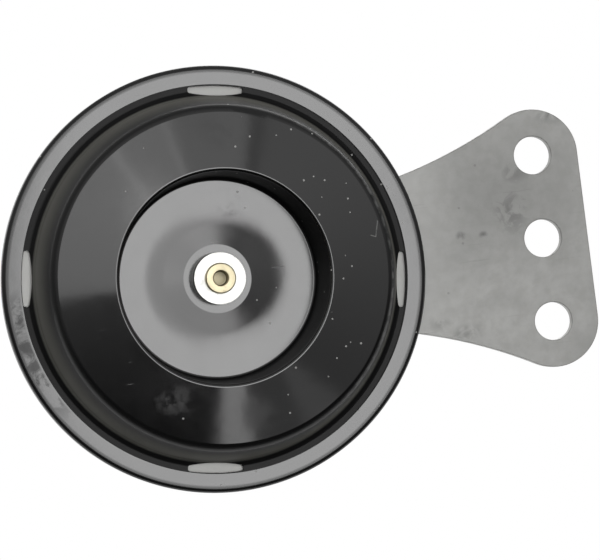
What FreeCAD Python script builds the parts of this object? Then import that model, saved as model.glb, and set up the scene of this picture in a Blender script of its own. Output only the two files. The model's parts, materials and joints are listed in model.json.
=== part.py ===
# Electric disc horn on a flat steel bracket, in millimetres, +Z up.
# The horn's axis runs along Y and its pressed cover faces -Y. The origin is the middle
# hole of the bracket's head, on the bracket's rear face.
# Depths (names that end in _Y0 or _Y1) are counted rearward from the front face of the rim.
import FreeCAD, Part
import math
import os

Vector = FreeCAD.Vector
AXIS = Vector(0, 1, 0)

# Rim: one steel ring rolled over the flanges of the cover, the diaphragm and the can.
RIM_R = 45.0
RING_T = 0.8
HEM_FRONT_W = 4.0
HEM_REAR_W = 3.5
RIM_FRONT_BEND = 1.6
RIM_REAR_BEND = 1.4
STACK_GAP = 0.1
GASKET_T = 0.4
GASKET_W = 2.3
DIAPHRAGM_T = 0.4

# How wide the horn is against the 90 mm size that its inner pieces were laid out for.
PLAN = RIM_R / 45.0

# Front cover, pressed from one sheet. Heights are counted forward from the rim's front face.
COVER_T = 1.0
GROOVE_INSET = 6.35
GROOVE_BEND = 1.5
SHOULDER_INSET = 8.7
SHOULDER_H = 12.5
SHOULDER_BEND = 3.0
CREST_R = 22.1
CREST_H = 15.0
CREST_BEND = 1.1
DISH_R = 20.9
DISH_EDGE_H = 1.9
DISH_BEND = 1.0
DISH_FLOOR_R = 18.0
DISH_FLOOR_H = 1.5
DISH_FLOOR_BEND = 25.0
RISE_FOOT_R = 11.7
RISE_BEND = 13.0
BOSS_R = 7.4
BOSS_H = 3.6
BOSS_BEND = 0.8

# Sound slots at the foot of the hump.
SLOT_COUNT = 4
SLOT_CLOCK_DEG = -7.2
SLOT_INSET = 4.2
SLOT_DEPTH = 2.6
SLOT_END_DEPTH = 1.9
SLOT_LENGTH = 11.8
SLOT_CORNER_R = 0.75
SLOT_TOP_H = 1.5

# Diaphragm and what is riveted to its centre.
BEAD_OUTER_R = 30.0 * PLAN
BEAD_INNER_R = 22.0 * PLAN
BEAD_H = 0.6
BEAD_BEND = 1.2
STUD_R = 2.6
STUD_GAP = 0.1
RIVET_R = 3.2
RIVET_PROUD = 1.5
RIVET_HOLE_R = 1.55
RIVET_HOLE_DEPTH = 2.8
RIVET_EDGE = 0.5
WASHER_R = 5.5
WASHER_T = 2.8
WASHER_FACE_INSET = 0.75
WASHER_FALL = 0.16
WASHER_EDGE = 0.12
FRONT_STIFFENER_R = 9.0 * PLAN
FRONT_STIFFENER_T = 0.8
REAR_STIFFENER_R = 11.0 * PLAN
REAR_STIFFENER_T = 1.0
SLEEVE_R = 5.0
COLLAR_R = 9.5 * PLAN
COLLAR_T = 3.6
ARMATURE_R = 8.0 * PLAN
MAGNET_GAP = 1.0
ARMATURE_DIP = 1.8

# Rear can, pressed in two steps.
HOUSING_T = 1.2
CAN_INSET = 6.5
CAN_DRAFT = 0.5
CAN_FLANGE_BEND = 1.0
CAN_SHOULDER_BEND = 2.2
SHOULDER_DEPTH = 9.0
CUP_R = 31.2 * PLAN
CUP_DRAFT = 0.6
CUP_NECK_BEND = 1.0
CUP_BASE_BEND = 2.5
COIL_SPACE = 15.0
SCREW_COLLAR_R = 3.4
SCREW_COLLAR_L = 1.8

# Magnet.
CORE_R = 8.0 * PLAN
NECK_R = 5.0
NECK_GAP = 0.05
BOLT_R = 4.0
BOLT_CHAMFER = 0.8
BOLT_PROUD = 2.0
BOBBIN_WALL = 1.0
BOBBIN_BORE_GAP = 0.4
BOBBIN_FLANGE_R = 17.0 * PLAN
BOBBIN_FLANGE_T = 1.2
WINDING_R = 15.8 * PLAN
YOKE_INSET = 3.1
YOKE_T = 1.5
YOKE_BORE_GAP = 0.6

# Contact breaker, above the magnet on the yoke plate's front.
MOVING_ARM_T = 0.5
FIXED_ARM_T = 0.8
MIDDLE_INSULATOR_T = 1.2
UPPER_INSULATOR_T = 0.6
BREAKER_HALF_W = 6.5 * PLAN
BREAKER_Z0 = 22.0 * PLAN
BREAKER_Z1 = 30.5 * PLAN
MOVING_WAIST_HALF_W = 4.5 * PLAN
MOVING_TIP_HALF_W = 6.0 * PLAN
MOVING_TIP_GAP = 0.3
MOVING_WAIST_ABOVE = 3.0
MOVING_WAIST_BELOW = 2.0
FIXED_HALF_W = 4.5 * PLAN
FIXED_TIP_Z = 12.5 * PLAN
TAB_L = 3.2 * PLAN
TAB_HALF_W = 1.5
MOVING_TAB_RISE = 1.0
FIXED_TAB_DROP = 2.0
CONTACT_Z = 15.0 * PLAN
CONTACT_R = 1.6
CONTACT_TAIL_R = 0.9
CONTACT_HEAD_R = 1.3
CONTACT_HEAD_T = 0.4
BREAKER_RIVET_X = 3.0 * PLAN
BREAKER_RIVET_Z = 26.0 * PLAN
BREAKER_RIVET_R = 1.5
BREAKER_RIVET_HEAD_GAP = 0.8
BREAKER_RIVET_HEAD_T = 0.8
BREAKER_RIVET_GAP = 0.5

# Adjusting screw of the breaker, through the can's base.
SCREW_X = 9.5 * PLAN
SCREW_Z = 22.0 * PLAN
SCREW_R = 2.0
SCREW_TIP_R = 2.4
SCREW_TIP_L = 2.0
SCREW_PROUD = 2.8
SCREW_SLOT_W = 0.8
SCREW_SLOT_DEPTH = 1.2
SCREW_YOKE_GAP = 1.2
SCREW_TONGUE_EDGE = 0.4
LOCKNUT_FLATS = 7.0
LOCKNUT_T = 3.2
THREAD_GAP = 0.03

# Terminals, on the can's base opposite the bracket.
TERMINAL_X = -21.0 * PLAN
TERMINAL_Z = 6.5 * PLAN
TERMINAL_BLOCK_L = 10.0 * PLAN
TERMINAL_BLOCK_W = 22.0 * PLAN
TERMINAL_BLOCK_T = 3.0
TERMINAL_BLOCK_CORNER = 1.5
INNER_INSULATOR_L = 7.0 * PLAN
INNER_INSULATOR_T = 1.2
BLADE_W = 6.3
BLADE_T = 0.8
BLADE_L = 9.5
BLADE_BEND = 1.2
BLADE_FOOT_INNER = 3.4
BLADE_FOOT_OUTER = 5.4
BLADE_HOLE_R = 0.85
BLADE_HOLE_END = 3.0
BLADE_TIP_CUT = 1.0
TERMINAL_RIVET_R = 1.5
TERMINAL_RIVET_HEAD_R = 2.6
TERMINAL_RIVET_HEAD_T = 1.0
TERMINAL_HOLE_GAP = 0.7
WIRE_R = 0.5
WIRE_BEND = 2.0
WIRE_GAP = 0.05
WIRE_OVERRUN = 1.5
COIL_END_X = 5.0 * PLAN

# Mounting bracket and what clamps it on the magnet's bolt.
BRACKET_T = 2.5
BRACKET_REACH = 77.5
BRACKET_HALF_W = 14.2 * PLAN
BRACKET_LOBE_R = 10.2
BRACKET_FLARE_R = 110.0
BRACKET_HOLE_R = 4.2
BRACKET_HOLE_PITCH = 18.5
BRACKET_BOLT_GAP = 0.25
SPRING_WASHER_R = 7.2
SPRING_WASHER_T = 2.0
SPRING_WASHER_SLIT = 1.0
SPRING_WASHER_SLANT_DEG = 30.0
SPRING_WASHER_TURN_DEG = 125.0
NUT_FLATS = 13.0
NUT_T = 6.5
NUT_CHAMFER_DEG = 30.0
RIVET_HEAD_ROUNDING = 0.45

# Radii that follow from the rim's.
STACK_R = RIM_R - max(RIM_FRONT_BEND, RIM_REAR_BEND, RING_T + STACK_GAP)
HEM_FRONT_R = RIM_R - HEM_FRONT_W
HEM_REAR_R = RIM_R - HEM_REAR_W
GASKET_INNER_R = STACK_R - GASKET_W
GROOVE_R = RIM_R - GROOVE_INSET
SHOULDER_R = RIM_R - SHOULDER_INSET
SLOT_OUTER_R = RIM_R - SLOT_INSET
SLOT_INNER_R = SLOT_OUTER_R - SLOT_DEPTH
SLOT_END_R = SLOT_OUTER_R - SLOT_END_DEPTH
CAN_R = RIM_R - CAN_INSET
YOKE_R = CAN_R - YOKE_INSET
BREAKER_RIVET_HEAD_R = BREAKER_RIVET_X - BREAKER_RIVET_HEAD_GAP / 2

# Depths through the clamped rim.
FLANGE_Y0 = RING_T
FRONT_GASKET_Y0 = FLANGE_Y0 + COVER_T
DIAPHRAGM_Y0 = FRONT_GASKET_Y0 + GASKET_T
REAR_GASKET_Y0 = DIAPHRAGM_Y0 + DIAPHRAGM_T
HOUSING_Y0 = REAR_GASKET_Y0 + GASKET_T
HOUSING_FLANGE_Y1 = HOUSING_Y0 + HOUSING_T
RING_Y1 = HOUSING_FLANGE_Y1 + RING_T

# Depths through the centre.
BOSS_Y0 = -BOSS_H
BOSS_Y1 = BOSS_Y0 + COVER_T
WASHER_Y0 = BOSS_Y0 - WASHER_T
RIVET_Y0 = WASHER_Y0 - RIVET_PROUD
FRONT_STIFFENER_Y0 = DIAPHRAGM_Y0 - FRONT_STIFFENER_T
REAR_STIFFENER_Y0 = REAR_GASKET_Y0
COLLAR_Y0 = REAR_STIFFENER_Y0 + REAR_STIFFENER_T
COLLAR_Y1 = COLLAR_Y0 + COLLAR_T
YOKE_Y1 = HOUSING_Y0 + SHOULDER_DEPTH
YOKE_Y0 = YOKE_Y1 - YOKE_T
ARMATURE_Y1 = YOKE_Y1 + ARMATURE_DIP
CORE_Y0 = ARMATURE_Y1 + MAGNET_GAP
BASE_Y0 = YOKE_Y1 + COIL_SPACE
BASE_Y1 = BASE_Y0 + HOUSING_T
BRACKET_Y1 = BASE_Y1 + BRACKET_T
NUT_Y0 = BRACKET_Y1 + SPRING_WASHER_T
NUT_Y1 = NUT_Y0 + NUT_T
BOLT_Y1 = NUT_Y1 + BOLT_PROUD

# Depths through the breaker, whose moving arm lies on the armature's collar.
MOVING_ARM_Y0 = COLLAR_Y1
MOVING_ARM_Y1 = MOVING_ARM_Y0 + MOVING_ARM_T
FIXED_ARM_Y1 = MOVING_ARM_Y0 - MIDDLE_INSULATOR_T
FIXED_ARM_Y0 = FIXED_ARM_Y1 - FIXED_ARM_T
UPPER_INSULATOR_Y0 = FIXED_ARM_Y0 - UPPER_INSULATOR_T
CONTACT_Y = (MOVING_ARM_Y0 + FIXED_ARM_Y1) / 2

# Depths through the terminals.
BLOCK_Y1 = BASE_Y1 + TERMINAL_BLOCK_T
BLADE_FOOT_Y1 = BLOCK_Y1 + BLADE_T
INNER_INSULATOR_Y0 = BASE_Y0 - INNER_INSULATOR_T
TERMINAL_HEAD_Y0 = INNER_INSULATOR_Y0 - TERMINAL_RIVET_HEAD_T


def at(x, z, depth):
    """Point in the object's frame from a place beside the horn's axis and a depth."""
    return Vector(x - BRACKET_REACH, depth - BRACKET_Y1, z)


def cylinder(x, z, radius, depth0, depth1):
    """Round bar along the horn's axis."""
    return Part.makeCylinder(radius, depth1 - depth0, at(x, z, depth0), AXIS)


def ring(inner_r, outer_r, depth0, depth1):
    """Flat ring or tube round the horn's axis."""
    return cylinder(0, 0, outer_r, depth0, depth1).cut(cylinder(0, 0, inner_r, depth0, depth1))


def unit(start, end):
    """Direction from one point of a plane to another."""
    length = math.hypot(end[0] - start[0], end[1] - start[1])
    return ((end[0] - start[0]) / length, (end[1] - start[1]) / length)


def rounded_corner(before, corner, after):
    """The two ends and the middle of the arc that rounds a corner (a, b, radius)."""
    back = unit(corner, before)
    ahead = unit(corner, after)
    half = math.acos(max(-1.0, min(1.0, back[0] * ahead[0] + back[1] * ahead[1]))) / 2
    reach = corner[2] / math.tan(half)
    middle = (back[0] + ahead[0], back[1] + ahead[1])
    middle_length = math.hypot(middle[0], middle[1])
    inset = corner[2] / math.sin(half) - corner[2]
    return [
        (corner[0] + back[0] * reach, corner[1] + back[1] * reach),
        (corner[0] + middle[0] / middle_length * inset, corner[1] + middle[1] / middle_length * inset),
        (corner[0] + ahead[0] * reach, corner[1] + ahead[1] * reach),
    ]


def path_edges(corners, z, closed):
    """Edges through corners (x, depth, radius) in a plane across Z, with the corners rounded."""
    stops = []
    last = len(corners) - 1
    for index, corner in enumerate(corners):
        if corner[2] > 0 and (closed or 0 < index < last):
            stops.append(rounded_corner(corners[index - 1], corner, corners[(index + 1) % len(corners)]))
        else:
            stops.append([(corner[0], corner[1])])
    edges = [Part.Arc(*[at(a, z, b) for a, b in stop]).toShape() for stop in stops if len(stop) == 3]
    following = stops[1:] + stops[:1] if closed else stops[1:]
    for stop, after in zip(stops, following):
        edges.append(Part.makeLine(at(stop[-1][0], z, stop[-1][1]), at(after[0][0], z, after[0][1])))
    return edges, stops[0][0], stops[-1][-1]


def solid_face(corners, z=0.0):
    """Face inside closed corners (x, depth, radius)."""
    edges = path_edges(corners, z, True)[0]
    return Part.Face(Part.Wire(Part.__sortEdges__(edges)))


def beside(corners, thickness):
    """Corners of the far side of a sheet that lies left of its path, or right if negative."""
    moved = []
    for index, (a, b, radius) in enumerate(corners):
        steps = []
        if index > 0:
            steps.append(unit(corners[index - 1], corners[index]))
        if index < len(corners) - 1:
            steps.append(unit(corners[index], corners[index + 1]))
        normals = [(-step[1], step[0]) for step in steps]
        first, second = normals[0], normals[-1]
        scale = thickness / (1 + first[0] * second[0] + first[1] * second[1])
        turn = steps[0][0] * steps[-1][1] - steps[0][1] * steps[-1][0]
        new_radius = max(0.0, radius - math.copysign(thickness, turn * thickness)) if radius else 0.0
        moved.append((a + scale * (first[0] + second[0]), b + scale * (first[1] + second[1]), new_radius))
    return moved


def sheet_face(corners, thickness, z=0.0):
    """Section of a bent sheet: one side follows the corners, the other lies beside them."""
    near, near_start, near_end = path_edges(corners, z, False)
    far, far_start, far_end = path_edges(beside(corners, thickness), z, False)
    ends = [
        Part.makeLine(at(near_start[0], z, near_start[1]), at(far_start[0], z, far_start[1])),
        Part.makeLine(at(near_end[0], z, near_end[1]), at(far_end[0], z, far_end[1])),
    ]
    return Part.Face(Part.Wire(Part.__sortEdges__(near + far + ends)))


def revolved(face):
    """Turn a section about the horn's axis."""
    return face.revolve(at(0, 0, 0), AXIS, 360)


def plate(points, depth0, depth1):
    """Flat plate with the outline given beside the horn's axis."""
    outline = [at(x, z, depth0) for x, z in points]
    face = Part.Face(Part.makePolygon(outline + outline[:1]))
    return face.extrude(AXIS * (depth1 - depth0))


def block(x0, x1, z0, z1, depth0, depth1):
    """Rectangular plate."""
    return plate([(x0, z0), (x1, z0), (x1, z1), (x0, z1)], depth0, depth1)


def hex_nut(x, z, flats, bolt_r, depth0, depth1):
    """Hexagon nut, its corners chamfered on both faces."""
    corner_r = flats / math.sqrt(3)
    flat_r = flats / 2
    rise = (corner_r - flat_r) * math.tan(math.radians(NUT_CHAMFER_DEG))
    corners = [
        (x + corner_r * math.cos(math.radians(60 * turn)), z + corner_r * math.sin(math.radians(60 * turn)))
        for turn in range(6)
    ]
    section = solid_face([
        (x, depth0, 0), (x + flat_r, depth0, 0), (x + corner_r, depth0 + rise, 0),
        (x + corner_r, depth1 - rise, 0), (x + flat_r, depth1, 0), (x, depth1, 0),
    ], z)
    envelope = section.revolve(at(x, z, 0), AXIS, 360)
    bore = cylinder(x, z, bolt_r + THREAD_GAP, depth0, depth1)
    return plate(corners, depth0, depth1).common(envelope).cut(bore)


def rivet(x, z, radius, head_r, head_t, depth0, depth1):
    """Solid rivet whose heads lie outside the two depths."""
    shank = cylinder(x, z, radius, depth0 - head_t, depth1 + head_t)
    heads = [cylinder(x, z, head_r, depth0 - head_t, depth0), cylinder(x, z, head_r, depth1, depth1 + head_t)]
    joined = shank.multiFuse(heads).removeSplitter()
    rims = [edge for edge in joined.Edges if is_circle_at(edge, head_r, (depth0 - head_t, depth1 + head_t))]
    return joined.makeFillet(RIVET_HEAD_ROUNDING * head_t, rims)


def is_circle_at(edge, radius, depths):
    """Whether an edge is a whole circle of this radius at one of the depths."""
    curve = edge.Curve
    if not isinstance(curve, Part.Circle) or abs(curve.Radius - radius) > 1e-6:
        return False
    depth = curve.Center.y + BRACKET_Y1
    return any(abs(depth - wanted) < 1e-6 for wanted in depths)


def rim_ring():
    """Steel ring rolled over the rim, with a wide front hem and a rear hem."""
    path = [
        (HEM_FRONT_R, 0, 0),
        (RIM_R, 0, RIM_FRONT_BEND),
        (RIM_R, RING_Y1, RIM_REAR_BEND),
        (HEM_REAR_R, RING_Y1, 0),
    ]
    return revolved(sheet_face(path, RING_T))


def cover_path():
    """Front side of the cover's section, from its flange to its centre hole."""
    return [
        (STACK_R, FLANGE_Y0, 0),
        (GROOVE_R, FLANGE_Y0, GROOVE_BEND),
        (SHOULDER_R, -SHOULDER_H, SHOULDER_BEND),
        (CREST_R, -CREST_H, CREST_BEND),
        (DISH_R, -DISH_EDGE_H, DISH_BEND),
        (DISH_FLOOR_R, -DISH_FLOOR_H, DISH_FLOOR_BEND),
        (RISE_FOOT_R, -DISH_FLOOR_H, RISE_BEND),
        (BOSS_R, BOSS_Y0, BOSS_BEND),
        (STUD_R + STUD_GAP, BOSS_Y0, 0),
    ]


def slot_cutter(turn_deg):
    """Punch for one slot: an arc along the rim outside, a flatter bulge inside, rounded ends."""
    half = SLOT_LENGTH / 2
    outer_end = math.sqrt(SLOT_OUTER_R ** 2 - half ** 2)
    depth0 = -SLOT_TOP_H
    outer = [at(outer_end, -half, depth0), at(SLOT_OUTER_R, 0, depth0), at(outer_end, half, depth0)]
    inner = [at(SLOT_END_R, half, depth0), at(SLOT_INNER_R, 0, depth0), at(SLOT_END_R, -half, depth0)]
    edges = [
        Part.Arc(*outer).toShape(),
        Part.makeLine(outer[2], inner[0]),
        Part.Arc(*inner).toShape(),
        Part.makeLine(inner[2], outer[0]),
    ]
    punch = Part.Face(Part.Wire(edges)).extrude(AXIS * (DIAPHRAGM_Y0 - depth0))
    corners = [edge for edge in punch.Edges if abs(edge.Length - (DIAPHRAGM_Y0 - depth0)) < 1e-6]
    punch = punch.makeFillet(SLOT_CORNER_R, corners)
    punch.rotate(at(0, 0, 0), AXIS, -turn_deg)
    return punch


def front_cover():
    """Pressed cover: flange, hump with a deep dish, boss, and the sound slots in the groove."""
    shell = revolved(sheet_face(cover_path(), -COVER_T))
    punches = [slot_cutter(SLOT_CLOCK_DEG + 360.0 / SLOT_COUNT * index) for index in range(SLOT_COUNT)]
    return shell.cut(punches)


def diaphragm():
    """Spring steel disc with one shallow bead."""
    path = [
        (STACK_R, DIAPHRAGM_Y0, 0),
        (BEAD_OUTER_R, DIAPHRAGM_Y0, BEAD_BEND),
        (BEAD_OUTER_R - 2 * BEAD_H, DIAPHRAGM_Y0 - BEAD_H, BEAD_BEND),
        (BEAD_INNER_R + 2 * BEAD_H, DIAPHRAGM_Y0 - BEAD_H, BEAD_BEND),
        (BEAD_INNER_R, DIAPHRAGM_Y0, BEAD_BEND),
        (STUD_R + STUD_GAP, DIAPHRAGM_Y0, 0),
    ]
    return revolved(sheet_face(path, -DIAPHRAGM_T))


def centre_washer():
    """Thick plated washer under the riveted stud, its face falling a little at the edge."""
    bore = STUD_R + STUD_GAP
    return revolved(solid_face([
        (bore, WASHER_Y0, 0), (WASHER_R - WASHER_FACE_INSET, WASHER_Y0, 0),
        (WASHER_R, WASHER_Y0 + WASHER_FALL, WASHER_EDGE),
        (WASHER_R, BOSS_Y0, WASHER_EDGE), (bore, BOSS_Y0, 0),
    ]))


def armature():
    """Turned armature: hollow riveted stud, collar and the body that the magnet pulls."""
    body = revolved(solid_face([
        (0, RIVET_Y0, 0), (RIVET_R, RIVET_Y0, RIVET_EDGE), (RIVET_R, WASHER_Y0, 0),
        (STUD_R, WASHER_Y0, 0), (STUD_R, COLLAR_Y0, 0), (COLLAR_R, COLLAR_Y0, 0),
        (COLLAR_R, COLLAR_Y1, 0), (ARMATURE_R, COLLAR_Y1, 0), (ARMATURE_R, ARMATURE_Y1, 0),
        (0, ARMATURE_Y1, 0),
    ]))
    return body.cut(cylinder(0, 0, RIVET_HOLE_R, RIVET_Y0, RIVET_Y0 + RIVET_HOLE_DEPTH))


def rear_housing():
    """Can pressed in two steps, with a drawn collar for the adjusting screw."""
    path = [
        (STACK_R, HOUSING_FLANGE_Y1, 0),
        (CAN_R, HOUSING_FLANGE_Y1, CAN_FLANGE_BEND),
        (CAN_R - CAN_DRAFT, YOKE_Y1 + HOUSING_T, CAN_SHOULDER_BEND),
        (CUP_R, YOKE_Y1 + HOUSING_T, CUP_NECK_BEND),
        (CUP_R - CUP_DRAFT, BASE_Y1, CUP_BASE_BEND),
        (NECK_R + NECK_GAP, BASE_Y1, 0),
    ]
    can = revolved(sheet_face(path, HOUSING_T))
    collar = cylinder(SCREW_X, SCREW_Z, SCREW_COLLAR_R, BASE_Y0 - SCREW_COLLAR_L, BASE_Y0)
    holes = [cylinder(SCREW_X, SCREW_Z, SCREW_R + THREAD_GAP, BASE_Y0 - SCREW_COLLAR_L, BASE_Y1)]
    for z in (-TERMINAL_Z, TERMINAL_Z):
        holes.append(cylinder(TERMINAL_X, z, TERMINAL_RIVET_R + TERMINAL_HOLE_GAP, BASE_Y0, BASE_Y1))
    return can.fuse(collar).cut(holes).removeSplitter()


def pole_core():
    """Magnet core riveted in the can's base, with the mounting bolt on its back."""
    return revolved(solid_face([
        (0, CORE_Y0, 0), (CORE_R, CORE_Y0, 0), (CORE_R, BASE_Y0, 0), (NECK_R, BASE_Y0, 0),
        (NECK_R, BASE_Y1, 0), (BOLT_R, BASE_Y1, 0), (BOLT_R, BOLT_Y1 - BOLT_CHAMFER, 0),
        (BOLT_R - BOLT_CHAMFER, BOLT_Y1, 0), (0, BOLT_Y1, 0),
    ]))


def bobbin():
    """Moulded coil former between the yoke plate and the can's base."""
    bore = CORE_R + BOBBIN_BORE_GAP
    tube_r = bore + BOBBIN_WALL
    return revolved(solid_face([
        (bore, YOKE_Y1, 0), (BOBBIN_FLANGE_R, YOKE_Y1, 0),
        (BOBBIN_FLANGE_R, YOKE_Y1 + BOBBIN_FLANGE_T, 0), (tube_r, YOKE_Y1 + BOBBIN_FLANGE_T, 0),
        (tube_r, BASE_Y0 - BOBBIN_FLANGE_T, 0), (BOBBIN_FLANGE_R, BASE_Y0 - BOBBIN_FLANGE_T, 0),
        (BOBBIN_FLANGE_R, BASE_Y0, 0), (bore, BASE_Y0, 0),
    ]))


def coil_winding():
    """Wound copper, as one body."""
    inner = CORE_R + BOBBIN_BORE_GAP + BOBBIN_WALL
    return ring(inner, WINDING_R, YOKE_Y1 + BOBBIN_FLANGE_T, BASE_Y0 - BOBBIN_FLANGE_T)


def moving_wire_place():
    """Where the wire to the moving arm comes through the yoke plate."""
    return (-BREAKER_HALF_W - TAB_L / 2 - WIRE_R, BREAKER_RIVET_Z + MOVING_TAB_RISE)


def fixed_wire_place():
    """Where the wire to the fixed arm comes through the yoke plate."""
    return (-FIXED_HALF_W - TAB_L - 2 * WIRE_R, BREAKER_Z0 - FIXED_TAB_DROP)


def yoke_plate():
    """Steel disc on the can's shoulder that carries the breaker round the armature."""
    disc = ring(ARMATURE_R + YOKE_BORE_GAP, YOKE_R, YOKE_Y0, YOKE_Y1)
    holes = [cylinder(SCREW_X, SCREW_Z, SCREW_R + SCREW_YOKE_GAP, YOKE_Y0, YOKE_Y1)]
    for x in (-BREAKER_RIVET_X, BREAKER_RIVET_X):
        holes.append(cylinder(x, BREAKER_RIVET_Z, BREAKER_RIVET_R, YOKE_Y0, YOKE_Y1))
    for x, z in (moving_wire_place(), fixed_wire_place()):
        holes.append(cylinder(x, z, 2 * WIRE_R, YOKE_Y0, YOKE_Y1))
    return disc.cut(holes)


def breaker_holes(gap, depth0, depth1):
    """Holes for the breaker's two rivets."""
    radius = BREAKER_RIVET_R + gap
    return [cylinder(x, BREAKER_RIVET_Z, radius, depth0, depth1) for x in (-BREAKER_RIVET_X, BREAKER_RIVET_X)]


def breaker_insulator(depth0, depth1):
    """Laminate strip of the breaker's stack."""
    strip = block(-BREAKER_HALF_W, BREAKER_HALF_W, BREAKER_Z0, BREAKER_Z1, depth0, depth1)
    return strip.cut(breaker_holes(0.0, depth0, depth1))


def moving_contact_arm():
    """Spring arm that the armature's collar presses back."""
    tab_x, tab_z = moving_wire_place()
    side = [
        (BREAKER_HALF_W, BREAKER_Z1), (BREAKER_HALF_W, BREAKER_Z0),
        (MOVING_WAIST_HALF_W, CONTACT_Z + MOVING_WAIST_ABOVE),
        (MOVING_WAIST_HALF_W, CONTACT_Z - MOVING_WAIST_BELOW),
        (MOVING_TIP_HALF_W, ARMATURE_R), (MOVING_TIP_HALF_W, 0),
    ]
    arm = plate([(-x, z) for x, z in side] + side[::-1], MOVING_ARM_Y0, MOVING_ARM_Y1)
    tab = block(tab_x - 2 * WIRE_R, 0, tab_z - TAB_HALF_W, tab_z + TAB_HALF_W, MOVING_ARM_Y0, MOVING_ARM_Y1)
    round_tip = cylinder(0, 0, ARMATURE_R + MOVING_TIP_GAP, MOVING_ARM_Y0, MOVING_ARM_Y1)
    contact_hole = cylinder(0, CONTACT_Z, CONTACT_TAIL_R, MOVING_ARM_Y0, MOVING_ARM_Y1)
    holes = breaker_holes(BREAKER_RIVET_GAP, MOVING_ARM_Y0, MOVING_ARM_Y1) + [round_tip, contact_hole]
    return arm.fuse(tab).cut(holes).removeSplitter()


def fixed_contact_arm():
    """Stiff arm with a tongue over the adjusting screw and a tab for its wire."""
    tab_x, tab_z = fixed_wire_place()
    reach = SCREW_TIP_R + SCREW_TONGUE_EDGE
    arm = block(-BREAKER_HALF_W, BREAKER_HALF_W, BREAKER_Z0, BREAKER_Z1, FIXED_ARM_Y0, FIXED_ARM_Y1)
    strip = block(-FIXED_HALF_W, FIXED_HALF_W, FIXED_TIP_Z, BREAKER_Z0, FIXED_ARM_Y0, FIXED_ARM_Y1)
    tongue = block(0, SCREW_X + reach, SCREW_Z - reach, SCREW_Z + reach, FIXED_ARM_Y0, FIXED_ARM_Y1)
    tab = block(tab_x - 2 * WIRE_R, 0, tab_z - TAB_HALF_W, tab_z + TAB_HALF_W, FIXED_ARM_Y0, FIXED_ARM_Y1)
    holes = breaker_holes(BREAKER_RIVET_GAP, FIXED_ARM_Y0, FIXED_ARM_Y1)
    holes.append(cylinder(0, CONTACT_Z, CONTACT_TAIL_R, FIXED_ARM_Y0, FIXED_ARM_Y1))
    return arm.multiFuse([strip, tongue, tab]).cut(holes).removeSplitter()


def contact_point(face_depth, arm_near, arm_far):
    """Tungsten point with a tail riveted through its arm; near and far are the arm's faces."""
    away = math.copysign(1.0, arm_far - arm_near)
    spans = [
        (CONTACT_R, face_depth, arm_near),
        (CONTACT_TAIL_R, face_depth, arm_far + away * CONTACT_HEAD_T),
        (CONTACT_HEAD_R, arm_far, arm_far + away * CONTACT_HEAD_T),
    ]
    parts = [cylinder(0, CONTACT_Z, radius, min(a, b), max(a, b)) for radius, a, b in spans]
    return parts[0].multiFuse(parts[1:]).removeSplitter()


def contact_rivets():
    """The two rivets of the breaker's stack."""
    return [
        rivet(x, BREAKER_RIVET_Z, BREAKER_RIVET_R, BREAKER_RIVET_HEAD_R, BREAKER_RIVET_HEAD_T,
              UPPER_INSULATOR_Y0, YOKE_Y1)
        for x in (-BREAKER_RIVET_X, BREAKER_RIVET_X)
    ]


def adjusting_screw():
    """Headless slotted screw that sets the fixed arm."""
    end = BASE_Y1 + LOCKNUT_T + SCREW_PROUD
    screw = cylinder(SCREW_X, SCREW_Z, SCREW_R, FIXED_ARM_Y1 + SCREW_TIP_L, end)
    slot = block(SCREW_X - SCREW_R, SCREW_X + SCREW_R, SCREW_Z - SCREW_SLOT_W / 2, SCREW_Z + SCREW_SLOT_W / 2,
                 end - SCREW_SLOT_DEPTH, end)
    return screw.cut(slot)


def screw_tip_insulator():
    """Nylon cap between the screw and the live arm."""
    return cylinder(SCREW_X, SCREW_Z, SCREW_TIP_R, FIXED_ARM_Y1, FIXED_ARM_Y1 + SCREW_TIP_L)


def terminal_insulator_outer():
    """Moulded block under both blades."""
    middle_x = TERMINAL_X
    slab = block(middle_x - TERMINAL_BLOCK_L / 2, middle_x + TERMINAL_BLOCK_L / 2,
                 -TERMINAL_BLOCK_W / 2, TERMINAL_BLOCK_W / 2, BASE_Y1, BLOCK_Y1)
    corners = [edge for edge in slab.Edges if abs(edge.Length - TERMINAL_BLOCK_T) < 1e-6]
    slab = slab.makeFillet(TERMINAL_BLOCK_CORNER, corners)
    return slab.cut(terminal_holes(0.0, BASE_Y1, BLOCK_Y1))


def terminal_holes(gap, depth0, depth1):
    """Holes for the two terminal rivets."""
    radius = TERMINAL_RIVET_R + gap
    return [cylinder(TERMINAL_X, z, radius, depth0, depth1) for z in (-TERMINAL_Z, TERMINAL_Z)]


def terminal_insulator_inner():
    """Laminate strip under the rivets' inner heads."""
    strip = block(TERMINAL_X - INNER_INSULATOR_L / 2, TERMINAL_X + INNER_INSULATOR_L / 2,
                  -TERMINAL_BLOCK_W / 2, TERMINAL_BLOCK_W / 2, INNER_INSULATOR_Y0, BASE_Y0)
    return strip.cut(terminal_holes(0.0, INNER_INSULATOR_Y0, BASE_Y0))


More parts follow.
